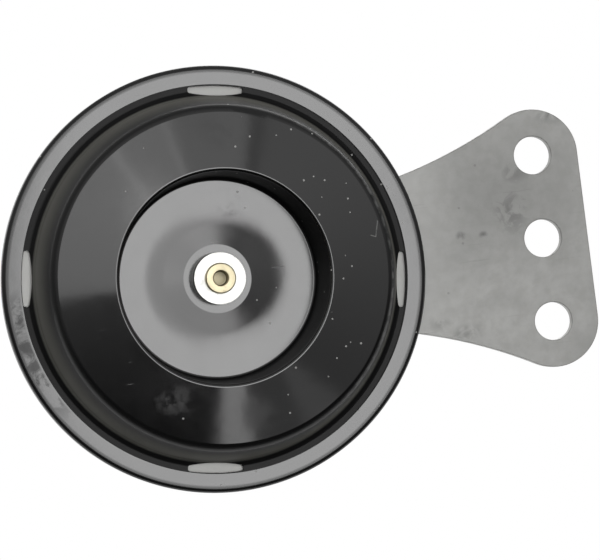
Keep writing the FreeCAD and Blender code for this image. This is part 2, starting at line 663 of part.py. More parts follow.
def terminal_blade(z):
    """Spade terminal: a riveted foot and a blade that stands back from the block."""
    end = BLADE_FOOT_Y1 + BLADE_L
    outer_x = TERMINAL_X - BLADE_FOOT_OUTER
    path = [(TERMINAL_X + BLADE_FOOT_INNER, BLOCK_Y1, 0), (outer_x, BLOCK_Y1, BLADE_BEND), (outer_x, end, 0)]
    strip = sheet_face(path, -BLADE_T, z - BLADE_W / 2).extrude(Vector(0, 0, BLADE_W))
    tip_edges = [
        edge for edge in strip.Edges
        if abs(edge.Length - BLADE_T) < 1e-6 and abs(edge.CenterOfMass.y - at(0, 0, end).y) < 1e-6
    ]
    strip = strip.makeChamfer(BLADE_TIP_CUT, tip_edges)
    hole = Part.makeCylinder(BLADE_HOLE_R, 2 * BLADE_T, at(outer_x - BLADE_T / 2, z, end - BLADE_HOLE_END),
                             Vector(1, 0, 0))
    return strip.cut([hole, cylinder(TERMINAL_X, z, TERMINAL_RIVET_R, BLOCK_Y1, BLADE_FOOT_Y1)])


def terminal_rivets():
    """The two rivets that hold the terminals and take the inner wires."""
    return [
        rivet(TERMINAL_X, z, TERMINAL_RIVET_R, TERMINAL_RIVET_HEAD_R, TERMINAL_RIVET_HEAD_T,
              INNER_INSULATOR_Y0, BLADE_FOOT_Y1)
        for z in (-TERMINAL_Z, TERMINAL_Z)
    ]


def wire(points):
    """Insulated wire through straight runs and tangent arcs."""
    edges = []
    here = points[0]
    for before, corner, after in zip(points, points[1:], points[2:]):
        back = (before - corner).normalize()
        ahead = (after - corner).normalize()
        half = back.getAngle(ahead) / 2
        reach = WIRE_BEND / math.tan(half)
        middle = (back + ahead).normalize() * (WIRE_BEND / math.sin(half) - WIRE_BEND)
        edges.append(Part.makeLine(here, corner + back * reach))
        edges.append(Part.Arc(corner + back * reach, corner + middle, corner + ahead * reach).toShape())
        here = corner + ahead * reach
    edges.append(Part.makeLine(here, points[-1]))
    start = Part.Wire([Part.makeCircle(WIRE_R, points[0], points[1] - points[0])])
    return Part.Wire(edges).makePipeShell([start], True, True)


def lead_wires():
    """Terminal to coil, coil to moving arm, and the other terminal to the fixed arm."""
    surface = WINDING_R + WIRE_GAP
    out = math.hypot(TERMINAL_X, TERMINAL_Z)
    coil_x = TERMINAL_X * surface / out
    coil_z = TERMINAL_Z * surface / out
    low = TERMINAL_HEAD_Y0
    near_base = low - WIRE_BEND - WIRE_R
    to_coil = wire([at(TERMINAL_X, TERMINAL_Z, low), at(TERMINAL_X, TERMINAL_Z, near_base),
                    at(coil_x, coil_z, near_base)])
    moving_x, moving_z = moving_wire_place()
    lift = YOKE_Y1 + BOBBIN_FLANGE_T + WIRE_BEND
    start_x = -COIL_END_X
    start_z = math.sqrt(surface ** 2 - start_x ** 2)
    to_moving = wire([at(start_x, start_z, lift), at(moving_x, moving_z, lift),
                      at(moving_x, moving_z, MOVING_ARM_Y1)])
    fixed_x, fixed_z = fixed_wire_place()
    side = lift + 2 * WIRE_BEND
    to_fixed = wire([
        at(TERMINAL_X, -TERMINAL_Z, low), at(TERMINAL_X, -TERMINAL_Z, side),
        at(TERMINAL_X, TERMINAL_Z + WIRE_OVERRUN, side), at(fixed_x, fixed_z, side),
        at(fixed_x, fixed_z, FIXED_ARM_Y1),
    ])
    return [to_coil, to_moving, to_fixed]


def bracket_outline():
    """Strap with a round end at the bolt that flares in two large arcs into a head with round lobes."""
    lobe_z = BRACKET_HOLE_PITCH
    flare_z = BRACKET_HALF_W + BRACKET_FLARE_R
    between = BRACKET_FLARE_R + BRACKET_LOBE_R
    flare_x = BRACKET_REACH - math.sqrt(between ** 2 - (flare_z - lobe_z) ** 2)
    touch_x = BRACKET_REACH + (flare_x - BRACKET_REACH) * BRACKET_LOBE_R / between
    touch_z = lobe_z + (flare_z - lobe_z) * BRACKET_LOBE_R / between
    edge_x = BRACKET_REACH + BRACKET_LOBE_R
    outward = math.radians(90) - math.atan2(flare_x - BRACKET_REACH, flare_z - lobe_z)
    turn = outward / 2
    lobe_mid = (BRACKET_REACH + BRACKET_LOBE_R * math.cos(turn), lobe_z + BRACKET_LOBE_R * math.sin(turn))
    reach_angle = math.atan2(touch_x - flare_x, flare_z - touch_z) / 2
    flare_mid = (flare_x + BRACKET_FLARE_R * math.sin(reach_angle),
                 flare_z - BRACKET_FLARE_R * math.cos(reach_angle))
    arcs = [
        ((0, BRACKET_HALF_W), (-BRACKET_HALF_W, 0), (0, -BRACKET_HALF_W)),
        ((flare_x, -BRACKET_HALF_W), (flare_mid[0], -flare_mid[1]), (touch_x, -touch_z)),
        ((touch_x, -touch_z), (lobe_mid[0], -lobe_mid[1]), (edge_x, -lobe_z)),
        ((edge_x, lobe_z), lobe_mid, (touch_x, touch_z)),
        ((touch_x, touch_z), flare_mid, (flare_x, BRACKET_HALF_W)),
    ]
    edges = [Part.Arc(*[at(x, z, BASE_Y1) for x, z in arc]).toShape() for arc in arcs]
    straights = [
        ((0, -BRACKET_HALF_W), (flare_x, -BRACKET_HALF_W)),
        ((edge_x, -lobe_z), (edge_x, lobe_z)),
        ((flare_x, BRACKET_HALF_W), (0, BRACKET_HALF_W)),
    ]
    edges += [Part.makeLine(*[at(x, z, BASE_Y1) for x, z in ends]) for ends in straights]
    return Part.Wire(Part.__sortEdges__(edges))


def mounting_bracket():
    """Flat strap with the bolt hole and three fixing holes in a row."""
    strap = Part.Face(bracket_outline()).extrude(AXIS * BRACKET_T)
    holes = [cylinder(0, 0, BOLT_R + BRACKET_BOLT_GAP, BASE_Y1, BRACKET_Y1)]
    for step in (-1, 0, 1):
        holes.append(cylinder(BRACKET_REACH, step * BRACKET_HOLE_PITCH, BRACKET_HOLE_R, BASE_Y1, BRACKET_Y1))
    return strap.cut(holes)


def spring_washer():
    """Split lock washer."""
    washer = ring(BOLT_R + STUD_GAP, SPRING_WASHER_R, BRACKET_Y1, NUT_Y0)
    slit = block(0, SPRING_WASHER_R + SPRING_WASHER_SLIT, -SPRING_WASHER_SLIT / 2, SPRING_WASHER_SLIT / 2,
                 BRACKET_Y1 - SPRING_WASHER_T, NUT_Y0 + SPRING_WASHER_T)
    slit.rotate(at(0, 0, (BRACKET_Y1 + NUT_Y0) / 2), Vector(1, 0, 0), SPRING_WASHER_SLANT_DEG)
    slit.rotate(at(0, 0, 0), AXIS, SPRING_WASHER_TURN_DEG)
    return washer.cut(slit)


def build():
    """Every piece, by the name of its node."""
    bore = STUD_R + STUD_GAP
    pieces = {
        "front_cover": front_cover(),
        "rim_ring": rim_ring(),
        "front_gasket": ring(GASKET_INNER_R, STACK_R, FRONT_GASKET_Y0, DIAPHRAGM_Y0),
        "diaphragm": diaphragm(),
        "rear_gasket": ring(GASKET_INNER_R, STACK_R, REAR_GASKET_Y0, HOUSING_Y0),
        "rear_housing": rear_housing(),
        "centre_washer": centre_washer(),
        "armature": armature(),
        "distance_sleeve": ring(bore, SLEEVE_R, BOSS_Y1, FRONT_STIFFENER_Y0),
        "front_stiffener": ring(bore, FRONT_STIFFENER_R, FRONT_STIFFENER_Y0, DIAPHRAGM_Y0),
        "rear_stiffener": ring(bore, REAR_STIFFENER_R, REAR_STIFFENER_Y0, COLLAR_Y0),
        "pole_core": pole_core(),
        "bobbin": bobbin(),
        "coil_winding": coil_winding(),
        "yoke_plate": yoke_plate(),
        "lower_contact_insulator": breaker_insulator(MOVING_ARM_Y1, YOKE_Y0),
        "moving_contact_arm": moving_contact_arm(),
        "middle_contact_insulator": breaker_insulator(FIXED_ARM_Y1, MOVING_ARM_Y0),
        "fixed_contact_arm": fixed_contact_arm(),
        "upper_contact_insulator": breaker_insulator(UPPER_INSULATOR_Y0, FIXED_ARM_Y0),
        "moving_contact_point": contact_point(CONTACT_Y, MOVING_ARM_Y0, MOVING_ARM_Y1),
        "fixed_contact_point": contact_point(CONTACT_Y, FIXED_ARM_Y1, FIXED_ARM_Y0),
        "contact_rivets": Part.makeCompound(contact_rivets()),
        "adjusting_screw": adjusting_screw(),
        "screw_tip_insulator": screw_tip_insulator(),
        "adjusting_locknut": hex_nut(SCREW_X, SCREW_Z, LOCKNUT_FLATS, SCREW_R, BASE_Y1, BASE_Y1 + LOCKNUT_T),
        "terminal_insulator_outer": terminal_insulator_outer(),
        "terminal_insulator_inner": terminal_insulator_inner(),
        "terminal_blade_upper": terminal_blade(TERMINAL_Z),
        "terminal_blade_lower": terminal_blade(-TERMINAL_Z),
        "terminal_rivets": Part.makeCompound(terminal_rivets()),
        "lead_wires": Part.makeCompound(lead_wires()),
        "mounting_bracket": mounting_bracket(),
        "spring_washer": spring_washer(),
        "mounting_nut": hex_nut(0, 0, NUT_FLATS, BOLT_R, NUT_Y0, NUT_Y1),
    }
    return pieces


def main():
    """Write one STEP file for each node."""
    os.makedirs("parts", exist_ok=True)
    for name, shape in build().items():
        shape.exportStep(os.path.join("parts", name + ".step"))
        print(name, len(shape.Solids), round(shape.Volume, 2), shape.isValid())


if __name__ == "__main__":
    main()
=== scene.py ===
# Disc horn with its bracket: visible pieces, finishes, stage, lights and camera.
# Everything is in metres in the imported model's frame: the horn's axis runs along Y, its cover
# faces -Y, and the origin is the middle fixing hole of the bracket's head.
import json
import math

import bmesh
import bpy
from bpy.props import FloatProperty, FloatVectorProperty, IntProperty, PointerProperty
from mathutils import Matrix, Vector


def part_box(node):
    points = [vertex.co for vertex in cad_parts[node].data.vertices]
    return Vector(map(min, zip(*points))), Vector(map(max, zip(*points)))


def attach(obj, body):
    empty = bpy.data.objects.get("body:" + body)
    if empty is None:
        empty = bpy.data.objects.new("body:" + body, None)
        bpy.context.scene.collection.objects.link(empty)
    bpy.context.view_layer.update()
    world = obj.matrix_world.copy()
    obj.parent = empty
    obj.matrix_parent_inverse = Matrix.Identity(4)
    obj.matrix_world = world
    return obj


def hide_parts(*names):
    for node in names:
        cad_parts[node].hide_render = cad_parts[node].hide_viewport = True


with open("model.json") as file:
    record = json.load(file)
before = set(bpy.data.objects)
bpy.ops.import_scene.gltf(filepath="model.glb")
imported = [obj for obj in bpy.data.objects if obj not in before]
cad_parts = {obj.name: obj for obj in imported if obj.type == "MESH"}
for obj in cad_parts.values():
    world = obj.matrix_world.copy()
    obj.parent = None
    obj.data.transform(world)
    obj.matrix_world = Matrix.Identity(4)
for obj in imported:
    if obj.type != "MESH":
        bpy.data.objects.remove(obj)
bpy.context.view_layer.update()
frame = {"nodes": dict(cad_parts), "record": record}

bl_info = {
    "name": "Disc Horn",
    "version": (1, 0, 0),
    "blender": (4, 5, 0),
    "location": "3D View > Sidebar > Disc Horn",
    "description": "Builds the pressed pieces, finishes and stage of a disc horn on its packed model",
    "category": "Object",
}

MM = 0.001
RIM_LOW, RIM_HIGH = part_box("rim_ring")
AXIS_X = (RIM_LOW.x + RIM_HIGH.x) / 2
RIM_R = (RIM_HIGH.z - RIM_LOW.z) / 2
FRONT_Y = RIM_LOW.y
AXIS = Vector((0, 1, 0))

# Radii and depths of the pressed cover in millimetres. A depth is counted rearward from the
# rim's front face, here and in every section below.
FLANGE_R, FLANGE = 43.4, 0.8
GROOVE_R = 38.65
SHOULDER_R, SHOULDER = 35.75, -12.6
CREST_R, CREST = 22.1, -15.0
DISH_R, DISH = 21.1, -1.5
RISE_R = 13.6
BOSS_R, BOSS = 7.2, -2.2
STUD_HOLE_R = 2.7

# The sound slots in millimetres: the outer arc, the inner edge with the straight side that its
# bulge starts from, the rounded ends, and where the punch starts and how far it goes.
SLOTS = 4
SLOT_OUTER_R = 40.8
SLOT_INNER_R = 38.6
SLOT_SIDE_R = 39.2
SLOT_BULGE = 0.6
SLOT_CORNER = 0.45
SLOT_CORNER_ROOM = 0.7
PUNCH_START, PUNCH_REACH = -1.5, 3.65

# The rim's two lips and the stepped can, in millimetres. A hole has its radius and its place to
# the right of the axis and up, and is cut from before the base's rear face to behind it.
RIM_FRONT_LIP_R, RIM_REAR_LIP_R = 41.0, 41.5
CAN_WALL_R, CAN_STEP_R = 38.5, 38.0
CAN_STEP = 13.2
CAN_BASE_WALL_R, CAN_BASE_R = 31.2, 30.6
CAN_BOLT_HOLE_R = 5.05
SCREW_HOLE = (2.03, 9.5, 22.0)
RIVET_HOLES = ((2.2, -21.0, -6.5), (2.2, -21.0, 6.5))
HOLE_BEFORE, HOLE_BEHIND = 4, 1

# The washer on the boss, and the stud with its hollow end, collar and armature, in millimetres.
WASHER_R, WASHER_FACE = 5.5, -6.4
SLEEVE_R, SLEEVE_HOLE_R = 5.0, 2.65
STUD_R, STUD_END = 3.2, -7.9
STUD_NECK_R = 2.6
HOLLOW_R, HOLLOW_FOOT, HOLLOW_MIDDLE = 1.55, -5.2, -5.6
COLLAR_R, COLLAR_FRONT, COLLAR_REAR = 9.5, 3.6, 7.2
ARMATURE_R, ARMATURE_REAR = 8.0, 13.8

# Steps of the turned, cut and softened shapes.
TURNED_AROUND = 128
TURNED_BEND_STEPS = 4
BAR_SIDES = 48
PUNCH_AROUND = 360
BULGE_CUTS = 15
SLOT_CORNER_STEPS = 6
SOFTEN_STEPS = 3

# Edges that are softened or shaded as sharp, and gaps in metres that count as none.
SOFTEN_OVER_DEG = 40.0
SHARP_DEG = 38.0
FLAT_DEG = 0.5
SAME_POINT = 1e-6
SAME_PLACE = 1e-7
SAME_PLANE = 1e-9


# Sizes and colours that a user would change.

class HornShape(bpy.types.PropertyGroup):
    """Sizes of the pressed pieces."""
    around: IntProperty(
        name="Steps Round", description="Faces round the pressed pieces", default=240,
        min=48, max=360)
    bend_steps: IntProperty(
        name="Steps in a Bend", description="Faces across one pressed bend", default=10,
        min=3, max=24)
    cover_thickness: FloatProperty(
        name="Cover Thickness", description="Sheet of the front cover", default=1.0 * MM,
        unit="LENGTH")
    can_thickness: FloatProperty(
        name="Can Thickness", description="Sheet of the rear can", default=1.2 * MM, unit="LENGTH")
    rim_thickness: FloatProperty(
        name="Rim Thickness", description="Sheet of the rolled rim", default=0.8 * MM,
        unit="LENGTH")
    slot_length: FloatProperty(
        name="Slot Length", description="Length of a sound slot", default=11.8 * MM, unit="LENGTH")
    slot_clock: FloatProperty(
        name="Slot Turn", description="Turn of the slots about the axis",
        default=math.radians(-7.2), subtype="ANGLE")
    edge_round: FloatProperty(
        name="Edge Rounding", description="Rounding of punched edges", default=0.22 * MM,
        unit="LENGTH")


class HornFinish(bpy.types.PropertyGroup):
    """Colours and wear of the finishes."""
    enamel: FloatVectorProperty(
        name="Enamel", description="Colour of the black enamel", default=(0.0045, 0.0045, 0.0047),
        subtype="COLOR", size=3)
    enamel_gloss: FloatProperty(
        name="Enamel Roughness", description="Roughness of the clean enamel", default=0.09,
        min=0, max=1, subtype="FACTOR")
    dish_gloss: FloatProperty(
        name="Dish Roughness", description="Roughness of the enamel in the dish", default=0.13,
        min=0, max=1, subtype="FACTOR")
    dust: FloatProperty(
        name="Dust", description="How many dust specks lie on the enamel", default=0.5,
        min=0, max=1, subtype="FACTOR")
    # The pale wear also paints a highlight along the shoulder's right side.
    wear: FloatProperty(
        name="Wear", description="Pale wear along the cover's shoulder", default=0.6,
        min=0, max=1, subtype="FACTOR")
    bracket_steel: FloatVectorProperty(
        name="Bracket Steel", description="Colour of the bracket's dull plating",
        default=(0.52, 0.52, 0.505), subtype="COLOR", size=3)
    zinc: FloatVectorProperty(
        name="Bright Zinc", description="Colour of the bright plating", default=(0.84, 0.84, 0.81),
        subtype="COLOR", size=3)
    yellow_zinc: FloatVectorProperty(
        name="Yellow Zinc", description="Colour of the yellow plating", default=(0.86, 0.77, 0.53),
        subtype="COLOR", size=3)


class HornStage(bpy.types.PropertyGroup):
    """Floor, lights and camera."""
    floor_drop: FloatProperty(
        name="Floor Drop", description="Height of the horn's rim over the floor", default=0.1,
        unit="LENGTH")
    light_level: FloatProperty(
        name="Light Level", description="Strength of all lamps", default=1.0, min=0,
        subtype="FACTOR")
    camera_turn: FloatProperty(
        name="Camera Turn", description="Camera's angle round the horn",
        default=math.radians(-9.083), subtype="ANGLE")
    camera_rise: FloatProperty(
        name="Camera Rise", description="Camera's angle over the horn",
        default=math.radians(-0.058), subtype="ANGLE")
    camera_roll: FloatProperty(
        name="Camera Roll", description="Camera's turn about its own line of sight",
        default=math.radians(7.25), subtype="ANGLE")
    camera_distance: FloatProperty(
        name="Camera Distance", description="Distance of the camera from the rim's plane",
        default=0.7399, unit="LENGTH")
    camera_lens: FloatProperty(
        name="Lens", description="Focal length in millimetres", default=210.43, unit="CAMERA")


# Shader maths and nodes.

class Signal:
    """Output of a shader node that takes part in Python arithmetic."""

    def __init__(self, owner, socket):
        self.owner = owner
        self.socket = socket

    def maths(self, operation, *values):
        node = self.owner.node("ShaderNodeMath", {"operation": operation}, dict(enumerate(values)))
        return node.value()

    def __add__(self, other):
        return self.maths("ADD", self, other)

    __radd__ = __add__

    def __mul__(self, other):
        return self.maths("MULTIPLY", self, other)

    __rmul__ = __mul__

    def __sub__(self, other):
        return self.maths("SUBTRACT", self, other)

    def __rsub__(self, other):
        return self.maths("SUBTRACT", other, self)

    def __truediv__(self, other):
        return self.maths("DIVIDE", self, other)

    def __rtruediv__(self, other):
        return self.maths("DIVIDE", other, self)

    def __pow__(self, other):
        return self.maths("POWER", self, other)

    def __rpow__(self, other):
        return self.maths("POWER", other, self)

    def __lt__(self, other):
        return self.maths("LESS_THAN", self, other)

    def __gt__(self, other):
        return self.maths("GREATER_THAN", self, other)

    def least(self, other):
        return self.maths("MINIMUM", self, other)

    def most(self, *others):
        result = self
        for other in others:
            result = result.maths("MAXIMUM", result, other)
        return result

    def size(self):
        return self.maths("ABSOLUTE", self)

    def sine(self):
        return self.maths("SINE", self)

    def step(self, low, high):
        """0 below low, 1 above high and smooth between; high may be the smaller."""
        node = self.owner.node(
            "ShaderNodeMapRange", {"interpolation_type": "SMOOTHSTEP", "clamp": True},
            {"Value": self, "From Min": low, "From Max": high, "To Min": 0.0, "To Max": 1.0})
        return node.value("Result")

    def step_mm(self, low, high):
        """The same for a length, with both limits in millimetres."""
        return self.step(low * MM, high * MM)

    def near(self, middle, reach):
        """1 at the middle and 0 from reach on, on both sides, in millimetres."""
        return (self - middle * MM).size().step_mm(reach, 0.0)


class Placed:
    """Node of a tree, with its outputs as signals."""

    def __init__(self, owner, node):
        self.owner = owner
        self.node = node

    def value(self, name=0):
        return Signal(self.owner, self.node.outputs[name])


class Nodes:
    """Node tree of a material or a world."""

    def __init__(self, holder):
        holder.use_nodes = True
        self.tree = holder.node_tree

    def node(self, kind, settings=None, inputs=None):
        """Add a node: its settings first, then the values or links of its sockets."""
        node = self.tree.nodes.new(kind)
        for name, value in (settings or {}).items():
            setattr(node, name, value)
        for name, value in (inputs or {}).items():
            self.feed(node.inputs[name], value)
        return Placed(self, node)

    def feed(self, socket, value):
        if isinstance(value, Signal):
            self.tree.links.new(value.socket, socket)
        elif socket.type == "RGBA" and len(value) == 3:
            socket.default_value = (*value, 1.0)
        else:
            socket.default_value = value

    def seen_directly(self):
        """1 for the camera and for sharp reflections, 0 for light that falls on a surface."""
        path = self.node("ShaderNodeLightPath")
        return path.value("Is Camera Ray").most(
            path.value("Is Glossy Ray"), path.value("Is Transmission Ray"))


class Finish(Nodes):
    """Material with one Principled surface."""

    def __init__(self, name):
        self.material = bpy.data.materials.new(name)
        super().__init__(self.material)
        self.surface = self.tree.nodes["Principled BSDF"]

    def shade(self, **inputs):
        """Set sockets of the surface, written with underscores for blanks."""
        for name, value in inputs.items():
            socket = name.replace("_", " ").title().replace("Ior", "IOR")
            self.feed(self.surface.inputs[socket], value)
        return self.material

    def mixed(self, factor, second):
        """Mix the surface with a second shader, which alone shows where the factor is 1."""
        first = Signal(self, self.surface.outputs[0])
        node = self.node("ShaderNodeMixShader", inputs={0: factor, 1: first, 2: second})
        self.feed(self.tree.nodes["Material Output"].inputs["Surface"], node.value())
        return self.material

    def place(self, scale=(1, 1, 1), turn=(0, 0, 0)):
        """Object coordinates, with the horn's axis moved to the middle, turned and scaled."""
        coordinates = self.node("ShaderNodeTexCoord").value("Object")
        centred = self.node("ShaderNodeMapping", inputs={
            "Vector": coordinates, "Location": (-AXIS_X, -FRONT_Y, 0)}).value()
        if scale == (1, 1, 1) and turn == (0, 0, 0):
            return centred
        return self.node("ShaderNodeMapping", inputs={
            "Vector": centred, "Rotation": turn, "Scale": scale}).value()

    def parts(self, vector):
        """Right, back and up of a place."""
        node = self.node("ShaderNodeSeparateXYZ", inputs={0: vector})
        return node.value(0), node.value(1), node.value(2)

    def radius(self, vector):
        """Distance from the horn's axis."""
        right, _, up = self.parts(vector)
        return (right * right + up * up) ** 0.5

    def line_gap(self, right, up, start, end):
        """Distance, seen from the front, to a short line between two points in millimetres."""
        (right0, up0), (right1, up1) = ((part * MM for part in point) for point in (start, end))
        run, rise = right1 - right0, up1 - up0
        share = 1.0 / (run * run + rise * rise)
        along = (right - right0) * (run * share) + (up - up0) * (rise * share)
        along = along.most(0.0).least(1.0)
        across, over = right - right0 - along * run, up - up0 - along * rise
        return (across * across + over * over) ** 0.5

    def noise(self, vector, scale, detail=3.0, rough=0.55, warp=0.0):
        node = self.node("ShaderNodeTexNoise", {"noise_dimensions": "3D"}, {
            "Vector": vector, "Scale": scale, "Detail": detail, "Roughness": rough,
            "Distortion": warp})
        return node.value(0)

    def cells(self, vector, scale):
        """Distance from scattered points, and two numbers of its own for each point."""
        node = self.node("ShaderNodeTexVoronoi", {"feature": "F1"}, {
            "Vector": vector, "Scale": scale, "Randomness": 1.0})
        own = self.node("ShaderNodeSeparateColor", inputs={0: node.value("Color")})
        return node.value("Distance"), own.value(0), own.value(1)

    def blend(self, factor, first, second):
        """Mix two colours."""
        node = self.node("ShaderNodeMix", {"data_type": "RGBA"}, {0: factor, 6: first, 7: second})
        return node.value(2)

    def bump(self, height, distance, strength, under=None):
        """Relief, on top of another one if that is given."""
        inputs = {"Height": height, "Distance": distance, "Strength": strength}
        if under is not None:
            inputs["Normal"] = under
        return self.node("ShaderNodeBump", inputs=inputs).value()


# Mesh helpers.

def at(radius, depth, up=0.0):
    """Point beside the horn's axis, given in millimetres."""
    return Vector((AXIS_X + radius * MM, FRONT_Y + depth * MM, up * MM))


def whole(mesh):
    """All that a mesh is made of."""
    return mesh.verts[:] + mesh.edges[:] + mesh.faces[:]


def held(name, mesh):
    """New object in the scene with a copy of the mesh."""
    data = bpy.data.meshes.new(name)
    mesh.to_mesh(data)
    holder = bpy.data.objects.new(name, data)
    bpy.context.scene.collection.objects.link(holder)
    return holder


def take_result(mesh, holder):
    """Refill the mesh from the object with its modifiers."""
    mesh.clear()
    mesh.from_mesh(holder.evaluated_get(bpy.context.evaluated_depsgraph_get()).to_mesh())


def bent_line(mesh, corners, steps, closed=False):
    """Line through (radius, depth, bend) with each bend rounded to its radius."""
    points = [mesh.verts.new(at(radius, depth)) for radius, depth, _ in corners]
    pairs = list(zip(points, points[1:])) + ([(points[-1], points[0])] if closed else [])
    for first, second in pairs:
        mesh.edges.new((first, second))
    last = len(points) - 1
    places = [point.co.copy() for point in points]
    for index, (_, _, bend) in enumerate(corners):
        if bend <= 0 or (not closed and index in (0, last)):
            continue
        back = places[index - 1] - places[index]
        ahead = places[(index + 1) % len(points)] - places[index]
        reach = bend * MM / math.tan(back.angle(ahead) / 2)
        bmesh.ops.bevel(mesh, geom=[points[index]], offset=reach, offset_type="OFFSET",
                        segments=steps, profile=0.5, affect="VERTICES", clamp_overlap=False,
                        material=-1)


def spun(mesh, around):
    """Turn the line in a mesh about the horn's axis into a closed shape."""
    bmesh.ops.spin(mesh, geom=mesh.verts[:] + mesh.edges[:], cent=at(0, 0), axis=AXIS,
                   angle=2 * math.pi, steps=around, use_merge=True)
    bmesh.ops.remove_doubles(mesh, verts=mesh.verts[:], dist=SAME_PLACE)
    bmesh.ops.recalc_face_normals(mesh, faces=mesh.faces[:])


def sheet(corners, thickness, around, steps, outward):
    """Pressed shell spun from the outer side of its section, which faces along Y times outward."""
    mesh = bmesh.new()
    bent_line(mesh, corners, steps)
    spun(mesh, around)
    outermost = max(mesh.faces, key=lambda face: face.calc_center_median().y * outward)
    if outermost.normal.y * outward < 0:
        bmesh.ops.reverse_faces(mesh, faces=mesh.faces[:])
    holder = held("sheet", mesh)
    wall = holder.modifiers.new("Wall", "SOLIDIFY")
    wall.thickness = thickness
    wall.offset = -1
    wall.use_even_offset = True
    take_result(mesh, holder)
    bpy.data.objects.remove(holder)
    return mesh


def turned(corners, closed):
    """Solid turned about the horn's axis."""
    mesh = bmesh.new()
    bent_line(mesh, corners, TURNED_BEND_STEPS, closed)
    spun(mesh, TURNED_AROUND)
    return mesh


def round_bar(radius, start, end, right, up):
    """Closed round bar along the horn's axis between two depths."""
    mesh = bmesh.new()
    middle = Matrix.Translation(at(right, (start + end) / 2, up))
    bmesh.ops.create_cone(mesh, cap_ends=True, segments=BAR_SIDES, radius1=radius * MM,
                          radius2=radius * MM, depth=(end - start) * MM,
                          matrix=middle @ Matrix.Rotation(math.pi / 2, 4, "X"))
    return mesh


def cut(mesh, cutters):
    """Cut closed shapes out of a mesh."""
    body = held("body", mesh)
    holders = [held("cutter", cutter) for cutter in cutters]
    for holder in holders:
        hole = body.modifiers.new("Hole", "BOOLEAN")
        hole.operation = "DIFFERENCE"
        hole.solver = "EXACT"
        hole.object = holder
    take_result(mesh, body)
    for holder in [body] + holders:
        bpy.data.objects.remove(holder)
    for cutter in cutters:
        cutter.free()


def copied(node):
    """Merged copy of a CAD node's mesh with its flat faces joined."""
    mesh = bmesh.new()
    mesh.from_mesh(frame["nodes"][node].data)
    bmesh.ops.remove_doubles(mesh, verts=mesh.verts[:], dist=SAME_POINT)
    bmesh.ops.dissolve_limit(mesh, angle_limit=math.radians(FLAT_DEG), verts=mesh.verts[:],
                             edges=mesh.edges[:])
    return mesh


def soften(mesh, amount):
    """Round the sharp edges of a mesh."""
    limit = math.radians(SOFTEN_OVER_DEG)
    edges = [edge for edge in mesh.edges if edge.is_manifold and edge.calc_face_angle() > limit]
    bmesh.ops.bevel(mesh, geom=edges, offset=amount, offset_type="OFFSET", segments=SOFTEN_STEPS,
                    profile=0.5, affect="EDGES", clamp_overlap=True, material=-1)


def finished(mesh, name, slot, replaced):
    """Make a piece of a bmesh, give it its finish, and let it stand for its CAD nodes."""
    piece = held(name, mesh)
    mesh.free()
    data = piece.data
    if "custom_normal" in data.attributes:
        data.attributes.remove(data.attributes["custom_normal"])
    data.shade_smooth()
    data.set_sharp_from_angle(angle=math.radians(SHARP_DEG))
    even = piece.modifiers.new("Even normals", "WEIGHTED_NORMAL")
    even.keep_sharp = True
    even.weight = 90
    data.materials.append(plain(slot))
    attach(piece, "root")
    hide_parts(*replaced)


# Finishes.

def scaled(colour, share):
    """Colour made darker or lighter."""
    return tuple(min(1.0, part * share) for part in colour)


def patch(right, up, spot):
    """1 at a spot, falling to 0 at its reach: (right, up, reach to the side, reach up)."""
    across, over, wide, tall = spot
    return right.near(across, wide) * up.near(over, tall)


# Dull patches on the cover, each given as a spot in millimetres.
RUBBED = (
    (4.5, 15.0, 3.5, 5.0), (-13.8, -24.0, 6.0, 4.5), (3.6, -28.6, 6.0, 5.0), (1.3, 29.6, 7.0, 5.0),
)
# Corners of the L-shaped scratch by the shoulder, and ends of the painted dark reflection streak at
# the hump's top.
SCRATCH = ((33.4, 7.7), (32.6, 4.5), (31.6, 4.9))
PAINTED_DARK_REFLECTION = ((6.6, 34.4), (12.6, 32.2))
DUST_COLOUR = (0.62, 0.62, 0.6)
SETTLED_DIRT = (0.27, 0.267, 0.242)


def enamel_dust(made, choice, place, front, haze):
    """Mask of the dust specks and of the scratch, with more fine dust on the right."""
    right, _, up = made.parts(place)
    sideways = right / made.radius(place).most(1e-5)
    gap, own, other = made.cells(place, 330.0)
    speck = (gap < 0.035 + 0.06 * other) * (own > 1.0 - 0.09 * choice.dust)
    fine_gap, fine_own, _ = made.cells(place, 900.0)
    to_right = sideways.step(-0.5, 0.7)
    share = (0.006 + 0.12 * to_right * to_right) * choice.dust
    fine = (fine_gap < 0.2) * (fine_own > 1.0 - share)
    long_arm = made.line_gap(right, up, SCRATCH[0], SCRATCH[1])
    short_arm = made.line_gap(right, up, SCRATCH[1], SCRATCH[2])
    scratch = long_arm.least(short_arm).step_mm(0.16, 0.06) * haze.step(0.35, 0.5)
    return speck.most(fine * 0.9, front * scratch * 0.35)


def enamel_wear_and_highlight(made, choice, place):
    """Mask of the pale wear along the shoulder, on its right side, which also paints a highlight
    there.
    """
    right, depth, _ = made.parts(place)
    radius = made.radius(place)
    shoulder = radius.near(35.7, 0.6) * depth.step_mm(-11.0, -13.0)
    facing = (right / radius.most(1e-5)).step(0.35, 0.9)
    return shoulder * facing * made.noise(place, 420.0, 3.0).step(0.42, 0.62) * choice.wear


